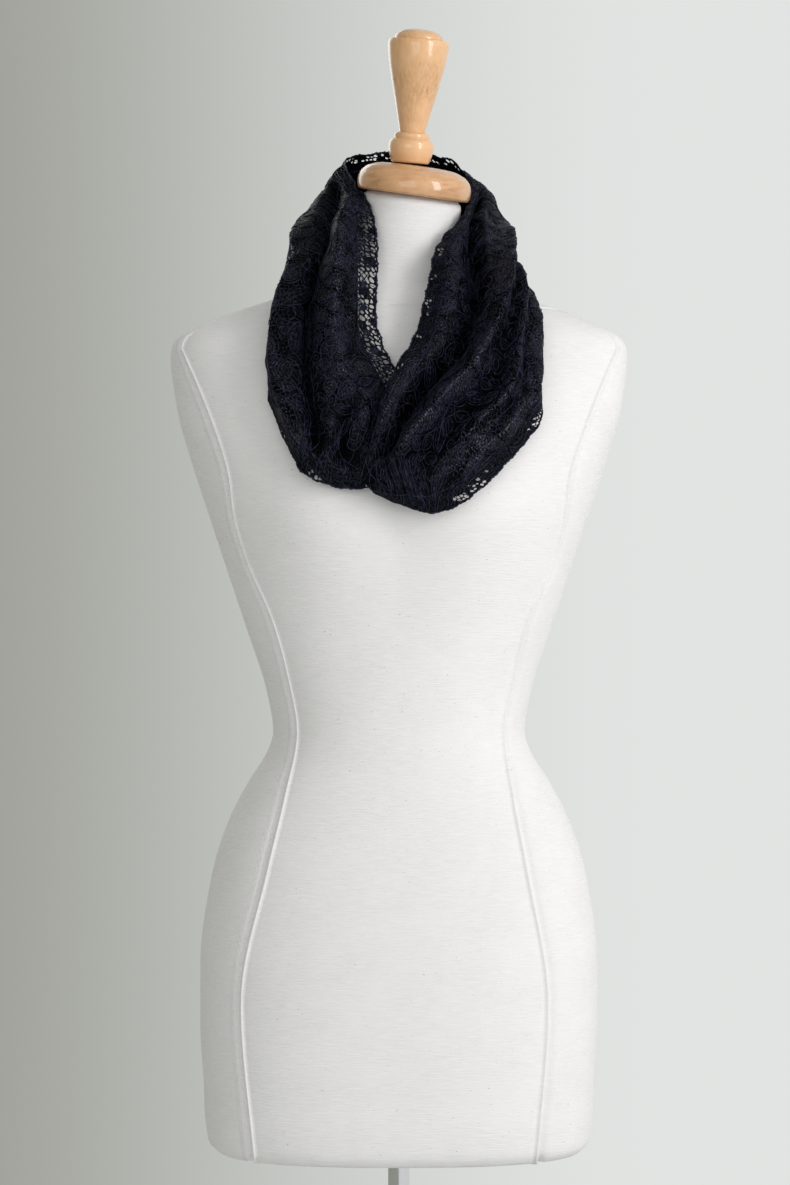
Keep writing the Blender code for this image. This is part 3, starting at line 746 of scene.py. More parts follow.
# %% Cap and finial
CAP_RADIUS = 48.5
GAP = 0.3
CAP_SIDE = ((43.0, 0.0), (46.2, 0.0), (47.3, 0.8), (48.3, 4.0), (48.5, 10.0), (46.6, 15.6), (42.0, 20.4))
CAP_TOP = ((42.0, 20.4), (34.0, 23.6), (22.0, 25.0), (2.0, 25.4))
cap_profile = rounded(CAP_SIDE)[:-1] + rounded(CAP_TOP)
BALL = ((13.0, 0.0), (15.0, 0.0), (17.4, 4.4), (18.8, 10.0), (19.0, 15.4), (17.4, 19.2), (14.8, 20.5))
RING = ((14.8, 20.7), (15.1, 22.2), (14.9, 24.2), (13.6, 25.3), (11.2, 25.6))
CONE = ((10.8, 25.9), (15.8, 48.0), (20.6, 68.0), (24.8, 89.0), (25.6, 96.6), (25.8, 100.6), (24.8, 102.9))
DOME = ((20.7, 104.0), (20.4, 105.6), (17.0, 109.0), (10.0, 111.6), (1.0, 112.6))
finial_profile = rounded(BALL) + rounded(RING) + rounded(CONE) + rounded(DOME)

neck_turn = Vector((math.tan(NECK_LEAN_RIGHT), -math.tan(NECK_LEAN_FORWARD), 1.0)).normalized()
neck_up = np.array(neck_turn)
neck_middle = form_section(np.array(NECK_TOP))[3]
cap_foot = leaned(np.array([0.0, neck_middle, NECK_TOP])) + neck_up * GAP
ball_tip = 15.0 * math.sin(NECK_LEAN_RIGHT - FINIAL_LEAN_RIGHT)
cap_level = np.array(Vector((0.0, 0.0, 1.0)).rotation_difference(neck_turn) @ Vector((1.0, 0.0, 0.0)))
finial_foot = cap_foot + neck_up * (25.4 + GAP + ball_tip) - cap_level * FINIAL_OFFSET
neck_cap = turned("turned_cap", cap_profile, cap_beech, cap_foot, (NECK_LEAN_RIGHT, NECK_LEAN_FORWARD))
finial = turned("turned_finial", finial_profile, finial_beech, finial_foot, (FINIAL_LEAN_RIGHT, NECK_LEAN_FORWARD))
dress(neck_cap, "neck_cap")
dress(finial, "finial")
print("cap foot at", np.round(cap_foot, 1), "mm")

# %% Base and pole
BASE_PROFILE = (
    (0.5, 10.0), (9.55, 10.0), (9.55, 42.0), (15.0, 42.0), (17.2, 41.4), (18.6, 40.2), (19.0, 38.5),
    (19.3, 28.0), (20.0, 19.0), (21.8, 15.4), (25.0, 13.5), (60.0, 12.3), (100.0, 11.1), (136.0, 10.1),
    (143.0, 9.3), (147.4, 7.6), (149.6, 5.2), (150.0, 3.2), (149.8, 1.0), (149.0, 0.0), (0.5, 0.0),
)
base = turned("turned_base", BASE_PROFILE, chrome, sides=128)
POLE_PROFILE = ((9.0, 10.3), (9.25, 10.6), (9.25, 717.3), (9.0, 717.7))
pole = turned("polished_pole", [(1.0, 10.3), *POLE_PROFILE, (1.0, 717.7)], chrome, sides=48)
dress(base, "base")
dress(pole, "pole")
for piece, angle in ((neck_cap, 40), (finial, 40), (base, 30), (pole, 30)):
    piece.data.set_sharp_from_angle(angle=math.radians(angle))
print("base is", 2 * BASE_PROFILE[-3][0], "mm across")

# %% [markdown]
# ## The surface that the lace lies on
#
# The loop goes round the neck with a twist at its lowest point in front, where one side laps
# over the other. Each row below is a cut across the band: the edge at the neck, how far the
# middle stands out, and the outer edge. Folds are soft ridges and valleys that wander along
# the band, and the whole is kept just clear of the form.

# %% Loop sections
CLOTH_CLEARANCE = 1.2
CAP_EASE = 14.0
END_FADE = 2.2
FOLD_FADE = 0.6

# in x, in y, in z, out by, up by, out x, out y, out z, heights above the neck seam
LOOP_SECTIONS = (
    ("twist end", -31, -131, -146, 2, 0, -21, -129, -158),
    ("lap low", -26, -131, -129, 8, 0, 1, -132, -168),
    ("lap middle", -19, -127, -106, 12, 0, 31, -133, -175),
    ("lap high", -11, -121, -77, 15, 0, 62, -127, -159),
    ("crossing", -1, -111, -53, 20, 0, 95, -111, -126),
    ("right chest", 12, -99, -31, 25, 0, 116, -96, -97),
    ("right collar", 20, -84, -2, 28, 2, 116, -78, -60),
    ("right neck", 25, -70, 22, 28, 6, 113, -56, -12),
    ("right shoulder", 32, -52, 50, 18, 12, 107, -24, 14),
    ("right side", 53, -21, 77, 1, 25, 106, 22, 18),
    ("right behind", 60, 28, 108, 2, 42, 104, 68, 2),
    ("nape right", 48, 52, 134, 5, 30, 66, 112, -40),
    ("nape", 10, 62, 145, 3, 36, 6, 120, -62),
    ("nape left", -40, 52, 139, 5, 30, -60, 113, -44),
    ("left behind", -44, 16, 122, 5, 31, -94, 72, 2),
    ("left side", -25, -27, 88, 15, 23, -99, 30, 24),
    ("left shoulder", -18, -50, 55, 22, 10, -89, -15, 24),
    ("left neck", -18, -64, 18, 27, 4, -101, -45, 4),
    ("left collar", -18, -76, -18, 28, 0, -109, -72, -39),
    ("left chest", -8, -88, -46, 25, 0, -106, -88, -82),
    ("left low", 2, -95, -63, 20, 0, -89, -107, -122),
    ("left hem", 8, -101, -78, 14, 0, -77, -119, -143),
    ("under lap", 11, -106, -94, 7, 0, -46, -122, -155),
    ("tuck", 8, -109, -113, 2, 0, -14, -122, -153),
)
LOOP_END = len(LOOP_SECTIONS) - 1

# name, height, width across the band, and the path as places along and across
FOLDS = (
    ("right neck roll", 5.0, 0.08, ((2.0, 0.08), (4.0, 0.09), (5.4, 0.11), (7.0, 0.11), (9.0, 0.09))),
    ("right deep valley", -10.0, 0.085, ((1.4, 0.19), (3.0, 0.19), (5.0, 0.21), (6.0, 0.25), (9.6, 0.22))),
    ("right main ridge", 8.0, 0.10, ((1.8, 0.33), (5.0, 0.35), (6.6, 0.46), (7.9, 0.56), (9.4, 0.62))),
    ("right second valley", -7.0, 0.07, ((2.0, 0.50), (4.4, 0.49), (5.8, 0.50), (6.8, 0.56), (8.2, 0.66))),
    ("right third ridge", 4.0, 0.06, ((3.0, 0.62), (5.2, 0.61), (6.0, 0.61), (6.8, 0.64), (8.0, 0.72))),
    ("right outer ridge", 6.5, 0.08, ((3.0, 0.78), (5.0, 0.80), (6.0, 0.86), (7.4, 0.90))),
    ("back upper valley", -9.0, 0.10,
     ((10.0, 0.58), (11.0, 0.48), (12.0, 0.42), (13.0, 0.44), (13.8, 0.50))),
    ("back middle ridge", 6.0, 0.09,
     ((10.4, 0.74), (11.4, 0.64), (12.0, 0.60), (12.8, 0.63), (13.8, 0.72))),
    ("back lower valley", -6.0, 0.08,
     ((10.8, 0.88), (11.6, 0.80), (12.0, 0.77), (12.6, 0.80), (13.4, 0.88))),
    ("left neck roll", 7.0, 0.11, ((15.0, 0.12), (16.0, 0.24), (17.4, 0.25), (18.6, 0.28), (20.8, 0.34))),
    ("left deep valley", -12.0, 0.09,
     ((14.4, 0.22), (15.3, 0.34), (16.3, 0.44), (18.0, 0.47), (20.2, 0.76))),
    ("left outer ridge", 5.0, 0.10, ((14.6, 0.56), (16.0, 0.70), (17.0, 0.74), (19.0, 0.82), (20.4, 0.90))),
    ("left lower valley", -8.0, 0.10, ((19.6, 0.24), (20.2, 0.44), (20.8, 0.60), (21.6, 0.68))),
)

# Creases that only the finished cloth has, in the same columns. Some sharpen a fold's own line
FOLD_PATHS = {name: path for name, _, _, path in FOLDS}
CREASES = (
    ("right ridge crest", 5.5, 0.03, FOLD_PATHS["right main ridge"]),
    ("right valley floor", -9.0, 0.045, FOLD_PATHS["right deep valley"]),
    ("right inner rib", 2.0, 0.025, ((5.6, 0.31), (6.6, 0.34), (8.0, 0.36), (9.2, 0.36))),
    ("right outer crest", 4.0, 0.03, FOLD_PATHS["right third ridge"]),
    ("right flap crease", -3.0, 0.025, ((4.0, 0.72), (5.0, 0.71), (6.0, 0.71), (7.0, 0.76))),
    ("flap pleat", -2.4, 0.03, ((3.8, 0.96), (4.6, 0.87), (5.2, 0.79))),
    ("lap crease", -2.4, 0.03, ((0.8, 0.30), (2.0, 0.42), (3.4, 0.43), (4.6, 0.43))),
    ("lap second crease", 1.8, 0.03, ((0.8, 0.66), (2.0, 0.68), (3.0, 0.70), (4.0, 0.70))),
    ("lap edge roll", 2.0, 0.04, ((1.0, 0.06), (2.4, 0.05), (4.0, 0.05))),
    ("neck roll pleat", -1.2, 0.02, ((4.4, 0.05), (6.0, 0.06), (7.6, 0.06), (8.8, 0.05))),
    ("left roll crest", 3.0, 0.045, FOLD_PATHS["left neck roll"]),
    ("left valley floor", -9.0, 0.045, FOLD_PATHS["left deep valley"]),
    ("left outer crest", 2.2, 0.035,
     ((14.8, 0.58), (16.0, 0.71), (17.0, 0.75), (19.0, 0.83), (20.2, 0.90))),
    ("left roll pleat", -1.6, 0.025, ((15.8, 0.15), (16.8, 0.17), (18.0, 0.18), (19.4, 0.22))),
    ("left lobe pleat", 1.8, 0.03, ((19.2, 0.44), (20.2, 0.60), (21.0, 0.76), (21.8, 0.84))),
    ("nape ridge crest", 2.2, 0.03, ((10.6, 0.73), (11.4, 0.64), (12.0, 0.60), (12.8, 0.63), (13.6, 0.71))),
    ("nape upper pleat", -1.8, 0.025, ((10.8, 0.32), (11.6, 0.27), (12.4, 0.27), (13.4, 0.33))),
)


# %% Points of the loop
def clear_of_form(points, clearance):
    """Points moved out level from the form's middle wherever they lie nearer than the clearance."""
    flat = upright(points)
    half_width, front, back, middle, squareness = form_section(flat[..., 2])
    x = flat[..., 0]
    y = flat[..., 1] - middle
    forward = y < 0
    bust = bust_at(x, flat[..., 2]) * np.where(forward, 1.0, 0.0)
    depth = np.where(forward, front + middle + bust, back - middle)
    near = ((np.abs(x) / half_width) ** squareness + (np.abs(y) / depth) ** squareness) ** (1 / squareness)
    near = np.maximum(near, 1e-6)
    reach = np.hypot(x, y)
    least = np.where(flat[..., 2] > NECK_TOP, 0.0, reach / near + clearance)
    under_cap = smooth_step((flat[..., 2] - NECK_TOP + CAP_EASE) / CAP_EASE)
    least = np.maximum(least, under_cap * (CAP_RADIUS + clearance))
    move = np.maximum(least - reach, 0.0)
    out = np.array(points, float)
    out[..., 0] += move * x / np.maximum(reach, 1e-6)
    out[..., 1] += move * y / np.maximum(reach, 1e-6)
    return out


def loop_column(column, along):
    places = np.arange(len(LOOP_SECTIONS))
    return spline_through(places, [row[column] for row in LOOP_SECTIONS], along)


def plain_loop(along, across):
    """The band without its folds: a curve from the neck edge over the middle to the outer edge."""
    inner = np.stack([loop_column(column, along) for column in (1, 2, 3)], axis=-1)
    outer = np.stack([loop_column(column, along) for column in (6, 7, 8)], axis=-1)
    middle = (inner + outer) / 2
    away = middle[..., :2] / np.linalg.norm(middle[..., :2], axis=-1, keepdims=True)
    crest = middle.copy()
    crest[..., :2] += away * loop_column(4, along)[..., None]
    crest[..., 2] += loop_column(5, along)
    share = across[..., None]
    points = (
        inner * 2 * (share - 0.5) * (share - 1)
        + crest * 4 * share * (1 - share)
        + outer * 2 * share * (share - 0.5)
    )
    points[..., 2] += NECK_SEAM
    return points


def normals_of(surface, along, across):
    """Unit normals that point away from the body."""
    step = 0.01
    slope_along = surface(along + step, across) - surface(along - step, across)
    slope_across = surface(along, across + step) - surface(along, across - step)
    return unit(np.cross(slope_across, slope_along))


def fold_height(along, across, rows):
    """How far the folds stand out, smaller where the band is narrow."""
    height = np.zeros(np.broadcast(along, across).shape)
    for _, depth, width, path in rows:
        places = [place for place, _ in path]
        middle = curve_through(places, [side for _, side in path], along)
        begin = smooth_step((along - places[0] + FOLD_FADE) / (2 * FOLD_FADE))
        finish = smooth_step((places[-1] + FOLD_FADE - along) / (2 * FOLD_FADE))
        height = height + depth * begin * finish * np.exp(-(((across - middle) / width) ** 2))
    return height * smooth_step(along / END_FADE) * smooth_step((LOOP_END - along) / END_FADE)


def folded_loop(along, across):
    along, across = np.broadcast_arrays(np.asarray(along, float), np.asarray(across, float))
    points = plain_loop(along, across)
    normals = normals_of(plain_loop, along, across)
    points = points + normals * fold_height(along, across, FOLDS + CREASES)[..., None]
    return clear_of_form(points, CLOTH_CLEARANCE)


# %% [markdown]
# ## Lace drawn flat, then wrapped
#
# Lace is made flat, so its pattern is drawn flat here too, in millimetres along the loop and
# millimetres from the neck edge. A fine grid of the folded surface carries it: a flat point
# is looked up in the grid and comes back as a place on the cloth. Pattern and border so bend
# with every fold and never stretch by more than the cloth itself does.

# %% Sample the surface
GRID_PITCH = 1.25
GRID_ROWS = 181

fine_along = np.linspace(0.0, LOOP_END, 2400)
middle_line = plain_loop(fine_along, np.full_like(fine_along, 0.5))
middle_run = run_along(middle_line)
LOOP_LENGTH = middle_run[-1]
GRID_COLUMNS = int(LOOP_LENGTH / GRID_PITCH) + 1
run_at = np.linspace(0.0, LOOP_LENGTH, GRID_COLUMNS)
along_at = np.interp(run_at, middle_run, fine_along)
first_across = np.linspace(0.0, 1.0, 121)
first_pass = folded_loop(along_at[:, None], first_across[None, :])
reach = np.cumsum(np.linalg.norm(np.diff(first_pass, axis=1), axis=-1), axis=1)
reach = np.concatenate([np.zeros((GRID_COLUMNS, 1)), reach], axis=1)
band_width = reach[:, -1]
shares = np.linspace(0.0, 1.0, GRID_ROWS)
across_at = np.array([np.interp(shares * width, row, first_across) for width, row in zip(band_width, reach)])
surface = folded_loop(along_at[:, None], across_at)
print(f"loop {LOOP_LENGTH:.0f} mm round its middle, band {band_width.min():.0f} to {band_width.max():.0f} mm wide")

# %% Small unevenness of the cloth
flat_along = np.broadcast_to(run_at[:, None], across_at.shape)
flat_across = shares[None, :] * band_width[:, None]
to_edge = np.minimum(flat_across, band_width[:, None] - flat_across)


def grid_normals(points):
    return unit(np.cross(np.gradient(points, axis=1), np.gradient(points, axis=0)))


def ripples(along, across):
    """Quiet waves of several lengths that never line up."""
    waves = ((61.0, 47.0, 0.4, 0.4), (37.0, -83.0, 1.7, 0.3), (-29.0, 33.0, 2.9, 0.22), (19.0, 24.0, 4.1, 0.12))
    height = np.zeros_like(across)
    for length_along, length_across, phase, size in waves:
        height += size * np.sin(2 * math.pi * (along / length_along + across / length_across) + phase)
    return height


EDGE_WAVE = 27.0
EDGE_REACH = 16.0
edge_ruffle = 0.55 * np.sin(2 * math.pi * flat_along / EDGE_WAVE + 1.2 * np.sin(flat_along / 41.0))
ends_quiet = smooth_step(flat_along / 60.0) * smooth_step((LOOP_LENGTH - flat_along) / 60.0)
uneven = ripples(flat_along, flat_across) + edge_ruffle * np.exp(-to_edge / EDGE_REACH)
surface = clear_of_form(surface + grid_normals(surface) * (uneven * ends_quiet)[..., None], CLOTH_CLEARANCE)
normals = grid_normals(surface)
# Painted shade: 0 in a fold's valley and 1 on a ridge, read by the lace to darken its colour in the valleys.
painted_fold_light_grid = smooth_step((fold_height(along_at[:, None], across_at, FOLDS + CREASES) + 5.5) / 15.0)


def openness_at(along, across):
    """Painted shade of the folds: from 0 deep in a valley, where the colour is darkened, to 1 on a ridge."""
    i = np.clip((along / LOOP_LENGTH * (GRID_COLUMNS - 1)).astype(int), 0, GRID_COLUMNS - 1)
    j = np.clip((across / width_at(along) * (GRID_ROWS - 1)).astype(int), 0, GRID_ROWS - 1)
    return painted_fold_light_grid[i, j]


def wrap(along, across, height):
    """Flat places, and heights above the cloth's middle, as points in space."""
    column = np.clip(np.asarray(along, float) / LOOP_LENGTH * (GRID_COLUMNS - 1), 0.0, GRID_COLUMNS - 1.001)
    i = column.astype(int)
    f = (column - i)[..., None]
    width = band_width[i] * (1 - f[..., 0]) + band_width[i + 1] * f[..., 0]
    row = across / width * (GRID_ROWS - 1)
    j = np.clip(np.floor(row).astype(int), 0, GRID_ROWS - 2)
    g = (row - j)[..., None]

    def mixed(table):
        low = table[i, j] * (1 - f) + table[i + 1, j] * f
        high = table[i, j + 1] * (1 - f) + table[i + 1, j + 1] * f
        return low * (1 - g) + high * g

    return mixed(surface) + mixed(normals) * np.asarray(height)[..., None]


def width_at(along):
    return np.interp(along, run_at, band_width)


# Where each stretch begins and ends along the loop's middle
STRETCHES = tuple(
    (name, float(np.interp(first, along_at, run_at)), float(np.interp(last, along_at, run_at)))
    for name, first, last in (("right", 0.0, 10.4), ("back", 10.4, 13.6), ("left", 13.6, 23.0))
)
for name, first, last in STRETCHES:
    print(f"{name}: {last - first:.0f} mm along, {width_at((first + last) / 2):.0f} mm wide")

# %% [markdown]
# ## Lace thread
#
# The yarn is near black with a navy tint. The ground is a fine net whose holes stay dark, the
# petals are worked solid in ribs, and the outlines are a thicker cord. A fine speckle paints
# glints into the colour as painted highlights and also strengthens the thin coat that carries
# the gloss. In the valleys of the folds the colour is darkened as painted shade, and the coat
# fades there too.

# %% Thread finishes
def yarn_shader(name, gloss, **constants):
    return new_material(
        name, Roughness=0.40, Specular_Tint=(0.66, 0.72, 1.0, 1.0), Specular_IOR_Level=gloss, **constants
    )


GROUND_GLOSS = 0.30
RIB_PITCH = 2.7
HOLE_COLOUR = (0.0003, 0.0003, 0.0005, 1.0)
# Painted shade: the near-black colour that the lace takes in the valleys of the folds.
PAINTED_VALLEY_SHADE = (0.0006, 0.0006, 0.0010, 1.0)
ground, tree, shader = yarn_shader("lace_ground", 0.03, Coat_Roughness=0.42)
flat = add_node(tree, "ShaderNodeUVMap", uv_map="flat")
net = add_node(tree, "ShaderNodeGroup", {"Vector": flat}, node_tree=lace_net)
petal, rib, painted_fold_light = (
    add_node(tree, "ShaderNodeAttribute", attribute_name=name).outputs["Fac"]
    for name in ("petal", "rib", "painted_fold_light")
)
rib_wave = add_math(tree, "SINE", add_math(tree, "MULTIPLY", rib, 2 * math.pi / RIB_PITCH))
rib_height = add_node(tree, "ShaderNodeMapRange", {"Value": rib_wave, "From Min": -1.0, "To Min": 0.25})
height = add_node(tree, "ShaderNodeMix", {"Factor": petal, "A": net, "B": rib_height}, data_type="FLOAT")
clouds = add_mottle(tree, flat, 90.0, (0.0016, 0.0017, 0.0036, 1.0), (0.0125, 0.0132, 0.0270, 1.0))
# Painted shade: the thread colour darkens towards the valley colour in the valleys of the folds.
valley_shaded_colour = mix_colours(tree, painted_fold_light, PAINTED_VALLEY_SHADE, mix_colours(tree, height, HOLE_COLOUR, clouds))
# Painted highlight: a fine speckle brightens the base colour as thread glints; the same speckle also sets how strong
# the coat's gloss is.
sparkle = add_math(tree, "POWER", add_mottle(tree, flat, 620.0).outputs["Value"], 2.0)
glint = add_node(tree, "ShaderNodeMapRange", {"Value": sparkle, "To Min": 0.10, "To Max": 5.0})
painted_glint_colour = add_node(tree, "ShaderNodeVectorMath", {0: valley_shaded_colour, "Scale": glint}, operation="SCALE")
# The coat is thinner in the valleys of the folds too.
open_thread = add_math(tree, "MULTIPLY", height, painted_fold_light)
coat = add_math(tree, "MULTIPLY", add_math(tree, "MULTIPLY", open_thread, glint), GROUND_GLOSS)
relief = add_relief(tree, height, 0.9, 0.0009)
set_inputs(tree, shader, {"Base Color": painted_glint_colour, "Coat Weight": coat, "Normal": relief})

cord_yarn, tree, shader = yarn_shader("lace_cord", 0.08)
yarn_shades = (0.0026, 0.0028, 0.0054, 1.0), (0.0310, 0.0326, 0.0600, 1.0)
clouds = add_mottle(tree, object_place(tree), 260.0, *yarn_shades)
twist = add_relief(tree, clouds.outputs["Value"], 0.5, 0.0002)
set_inputs(tree, shader, {"Base Color": clouds, "Normal": twist})
print("finishes:", ground.name, cord_yarn.name)

# %% [markdown]
# ## The motifs
#
# The lace repeats five ordinary motifs: a round flower, a ribbed leaf, a paisley drop, a
# scroll with buds and a small ring. Each is drawn once as lines, with its petals noted as
# long ovals, because those petals are worked solid in the ground underneath.

# %% Draw the motifs
def arc(radius, first, last, count, middle=(0.0, 0.0), squash=1.0):
    turns = np.linspace(math.radians(first), math.radians(last), count)
    return np.stack([middle[0] + radius * np.cos(turns), middle[1] + squash * radius * np.sin(turns)], axis=1)


def petal_outline(base_at, angle, length, width, count=9):
    """A closed leaf shape from its base along its angle."""
    share = np.linspace(0.0, 1.0, count)
    half = width / 2 * np.sin(math.pi * share) ** 0.75
    side = np.stack([share * length, half], axis=1)
    back = np.stack([share[::-1] * length, -half[::-1]], axis=1)[1:]
    turned_line = np.concatenate([side, back]) @ turn_by(angle).T
    return turned_line + np.array(base_at)


def turn_by(angle):
    cosine, sine = math.cos(math.radians(angle)), math.sin(math.radians(angle))
    return np.array([[cosine, -sine], [sine, cosine]])


def flower():
    petals = [((5.0 * math.cos(a), 5.0 * math.sin(a)), math.degrees(a), 15.0, 11.0) for a in np.arange(5) * 1.2566]
    lines = [(petal_outline(*petal), 1.0) for petal in petals]
    lines.append((arc(4.6, 0, 360, 13), 1.0))
    lines.append((arc(2.2, 0, 360, 9), 0.9))
    for base_at, angle, length, _ in petals:
        for lean in (-12.0, 12.0):
            tip = np.array([[2.0, 0.0], [length * 0.42, 0.0], [length * 0.78, 0.0]]) @ turn_by(angle + lean).T
            lines.append((tip + np.array(base_at), 0.7))
    return lines, petals


def leaf():
    petals = [((-17.0, 0.0), 0.0, 34.0, 15.0)]
    lines = [(petal_outline(*petals[0], count=13), 1.0), (petal_outline((-13.0, 0.0), 0.0, 26.0, 9.0), 0.7)]
    lines.append((np.array([[-24.0, -3.5], [-20.0, -1.2], [-10.0, 0.0], [2.0, 0.3], [15.0, 0.0]]), 1.0))
    for place in (-10.0, -4.5, 1.0, 6.5):
        for side in (-1, 1):
            lines.append((np.array([[place, 0.0], [place + 2.8, side * 2.4], [place + 4.6, side * 5.2]]), 0.7))
    return lines, petals


def paisley():
    drop = np.array(
        [
            (-19, 9), (-15, 11), (-8, 12), (0, 10.5), (7, 7.5), (12, 3), (14, -3), (12, -9), (7, -12.5), (1, -13.5),
            (-5, -12), (-9.5, -8), (-10.5, -2), (-9.5, 3), (-12, 7), (-19, 9),
        ]
    )
    inner = drop * 0.66 + np.array([1.8, -0.6])
    core = arc(4.2, 0, 360, 12, (3.0, -3.2))
    lines = [(drop, 1.0), (inner, 0.7), (core, 0.9)]
    for turn in np.arange(8) * 45.0:
        spoke = np.array([[5.4, 0.0], [8.2, 0.0]]) @ turn_by(turn).T
        lines.append((spoke + np.array([3.0, -3.2]), 0.7))
    petals = [((-16.0, 8.5), -32.0, 34.0, 20.0)]
    return lines, petals


def scroll():
    stem = np.array([(-22, -6), (-16, -1), (-9, 2), (-2, 2), (5, -1), (11, -5), (17, -6), (21, -3), (22, 2), (19, 5)])
    curl = np.array([(19, 5), (15.5, 5), (14, 2.4), (15.6, 0.2), (18, 1.0)])
    tendril = np.array([(-9, 2), (-10, 7), (-7, 11), (-2.5, 11), (-1.5, 7.6), (-4.4, 6.6)])
    branch = np.array([(5, -1), (4, -7), (0, -11), (-5, -11), (-6.4, -8), (-3.8, -6.6)])
    petals = [((6.0, 1.0), 52.0, 13.0, 7.0), ((-15.0, -1.0), 238.0, 13.0, 7.0), ((-2.0, 3.0), 20.0, 10.0, 5.0)]
    lines = [(stem, 1.0), (curl, 1.0), (tendril, 1.0), (branch, 1.0)]
    lines += [(petal_outline(*petal), 0.9) for petal in petals]
    return lines, petals


def ring():
    lines = [(arc(8.4, 0, 360, 20), 1.0), (arc(5.4, 0, 360, 14), 0.8), (arc(2.2, 0, 360, 8), 0.8)]
    for turn in np.arange(10) * 36.0:
        lines.append((np.array([[5.6, 0.0], [8.2, 0.0]]) @ turn_by(turn).T, 0.6))
    petals = [((-8.0, 0.0), 0.0, 16.0, 15.0)]
    return lines, petals


LINE_PITCH = 2.1
MOTIFS = tuple((kind.__name__, *kind()) for kind in (flower, leaf, paisley, scroll, ring))
print("motifs:", [name for name, _, _ in MOTIFS])

# %% Motifs as line meshes
def even_line(points, pitch):
    """The same line with a point every pitch, rounded at its corners."""
    points = np.asarray(points, float)
    run = run_along(points)
    count = max(int(round(run[-1] / pitch)), 1) + 1
    at = np.linspace(0.0, run[-1], count)
    return np.stack([spline_through(run, points[:, k], at) for k in range(points.shape[1])], axis=1)


def line_mesh(name, lines):
    """A mesh of edges only, with the cord's relative thickness on each point."""
    points, edges, thick = [], [], []
    for line, thickness in lines:
        first = len(points)
        points += [tuple(point) + (0.0,) * (3 - len(point)) for point in line]
        edges += [(index, index + 1) for index in range(first, len(points) - 1)]
        thick += [thickness] * len(line)
    mesh = bpy.data.meshes.new(name)
    mesh.from_pydata(points, edges, [])
    mesh.attributes.new("thick", "FLOAT", "POINT").data.foreach_set("value", thick)
    return bpy.data.objects.new(name, mesh)


motif_drawings = bpy.data.collections.new("motif_drawings")
for index, (name, lines, _) in enumerate(MOTIFS):
    even = [(even_line(line, LINE_PITCH), thickness) for line, thickness in lines]
    motif_drawings.objects.link(line_mesh(f"{index}_{name}", even))

# %% [markdown]
# ## Geometry Nodes for what repeats
#
# Three small trees do the repeating work. One lays the motif drawings on a set of points, one
# makes a flat net by turning a grid of triangles into its dual, which is a field of
# six-sided meshes, and one gives every line a round cord.

# %% Helpers for geometry trees
def geometry_tree(name, inputs):
    tree = bpy.data.node_groups.new(name, "GeometryNodeTree")
    tree.is_modifier = True
    start, end = add_sockets(tree, (("Geometry", "Geometry", None), *inputs), (("Geometry", "Geometry"),))
    return tree, start.outputs, end


def finish_tree(tree, given, end, geometry):
    """Every tree ends by making its instances real and giving them the material."""
    real = add_node(tree, "GeometryNodeRealizeInstances", {"Geometry": geometry})
    painted = add_node(tree, "GeometryNodeSetMaterial", {"Geometry": real, "Material": given["Material"]})
    set_inputs(tree, end, {"Geometry": painted})


def named_attribute(tree, name, data_type="FLOAT"):
    return add_node(tree, "GeometryNodeInputNamedAttribute", {"Name": name}, data_type=data_type)


def run_tree(tree, obj, values):
    """The plain mesh that a tree makes from an object, with the inputs set first."""
    if not obj.users_collection:
        bpy.context.scene.collection.objects.link(obj)
    modifier = obj.modifiers.new(tree.name, "NODES")
    modifier.node_group = tree
    for item in tree.interface.items_tree:
        if item.item_type == "SOCKET" and item.in_out == "INPUT" and item.name in values:
            modifier[item.identifier] = values[item.name]
    graph = bpy.context.evaluated_depsgraph_get()
    mesh = bpy.data.meshes.new_from_object(obj.evaluated_get(graph))
    bpy.data.objects.remove(obj, do_unlink=True)
    return mesh


# %% Tree: lay the motifs
lay_motifs, given, end = geometry_tree(
    "lay_motifs", (("Motifs", "Collection", None), ("Material", "Material", None))
)
drawings = add_node(
    lay_motifs,
    "GeometryNodeCollectionInfo",
    {"Collection": given["Motifs"], "Separate Children": True, "Reset Children": True},
)
turn_vector = add_node(lay_motifs, "ShaderNodeCombineXYZ", {"Z": named_attribute(lay_motifs, "turn")})
laid = add_node(
    lay_motifs,
    "GeometryNodeInstanceOnPoints",
    {
        "Points": given["Geometry"],
        "Instance": drawings,
        "Pick Instance": True,
        "Instance Index": named_attribute(lay_motifs, "kind", "INT"),
        "Rotation": add_node(lay_motifs, "FunctionNodeEulerToRotation", {"Euler": turn_vector}),
        "Scale": named_attribute(lay_motifs, "size"),
    },
)
finish_tree(lay_motifs, given, end, laid)

# %% Tree: a flat net
flat_net, given, end = geometry_tree(
    "flat_net",
    (
        ("Length", "Float", 100.0),
        ("Width", "Float", 18.0),
        ("Mesh Size", "Float", 4.6),
        ("Unevenness", "Float", 0.8),
        ("Seed", "Int", 3),
        ("Material", "Material", None),
    ),
)
across_net, down_net = (
    add_math(flat_net, "ADD", add_math(flat_net, "DIVIDE", given[side], given["Mesh Size"]), 2.0)
    for side in ("Length", "Width")
)
sheet = add_node(
    flat_net,
    "GeometryNodeMeshGrid",
    {"Size X": given["Length"], "Size Y": given["Width"], "Vertices X": across_net, "Vertices Y": down_net},
)
triangles = add_node(flat_net, "GeometryNodeTriangulate", {"Mesh": sheet})
six_sided = add_node(flat_net, "GeometryNodeDualMesh", {"Mesh": triangles, "Keep Boundaries": True})
uneven = given["Unevenness"]
most = add_node(flat_net, "ShaderNodeCombineXYZ", {"X": uneven, "Y": uneven})
least = add_node(flat_net, "ShaderNodeVectorMath", {0: most, "Scale": -1.0}, operation="SCALE")
nudge = add_node(
    flat_net,
    "FunctionNodeRandomValue",
    {"Min": least, "Max": most, "Seed": given["Seed"]},
    data_type="FLOAT_VECTOR",
)
nudged = add_node(flat_net, "GeometryNodeSetPosition", {"Geometry": six_sided, "Offset": nudge})
finish_tree(flat_net, given, end, nudged)

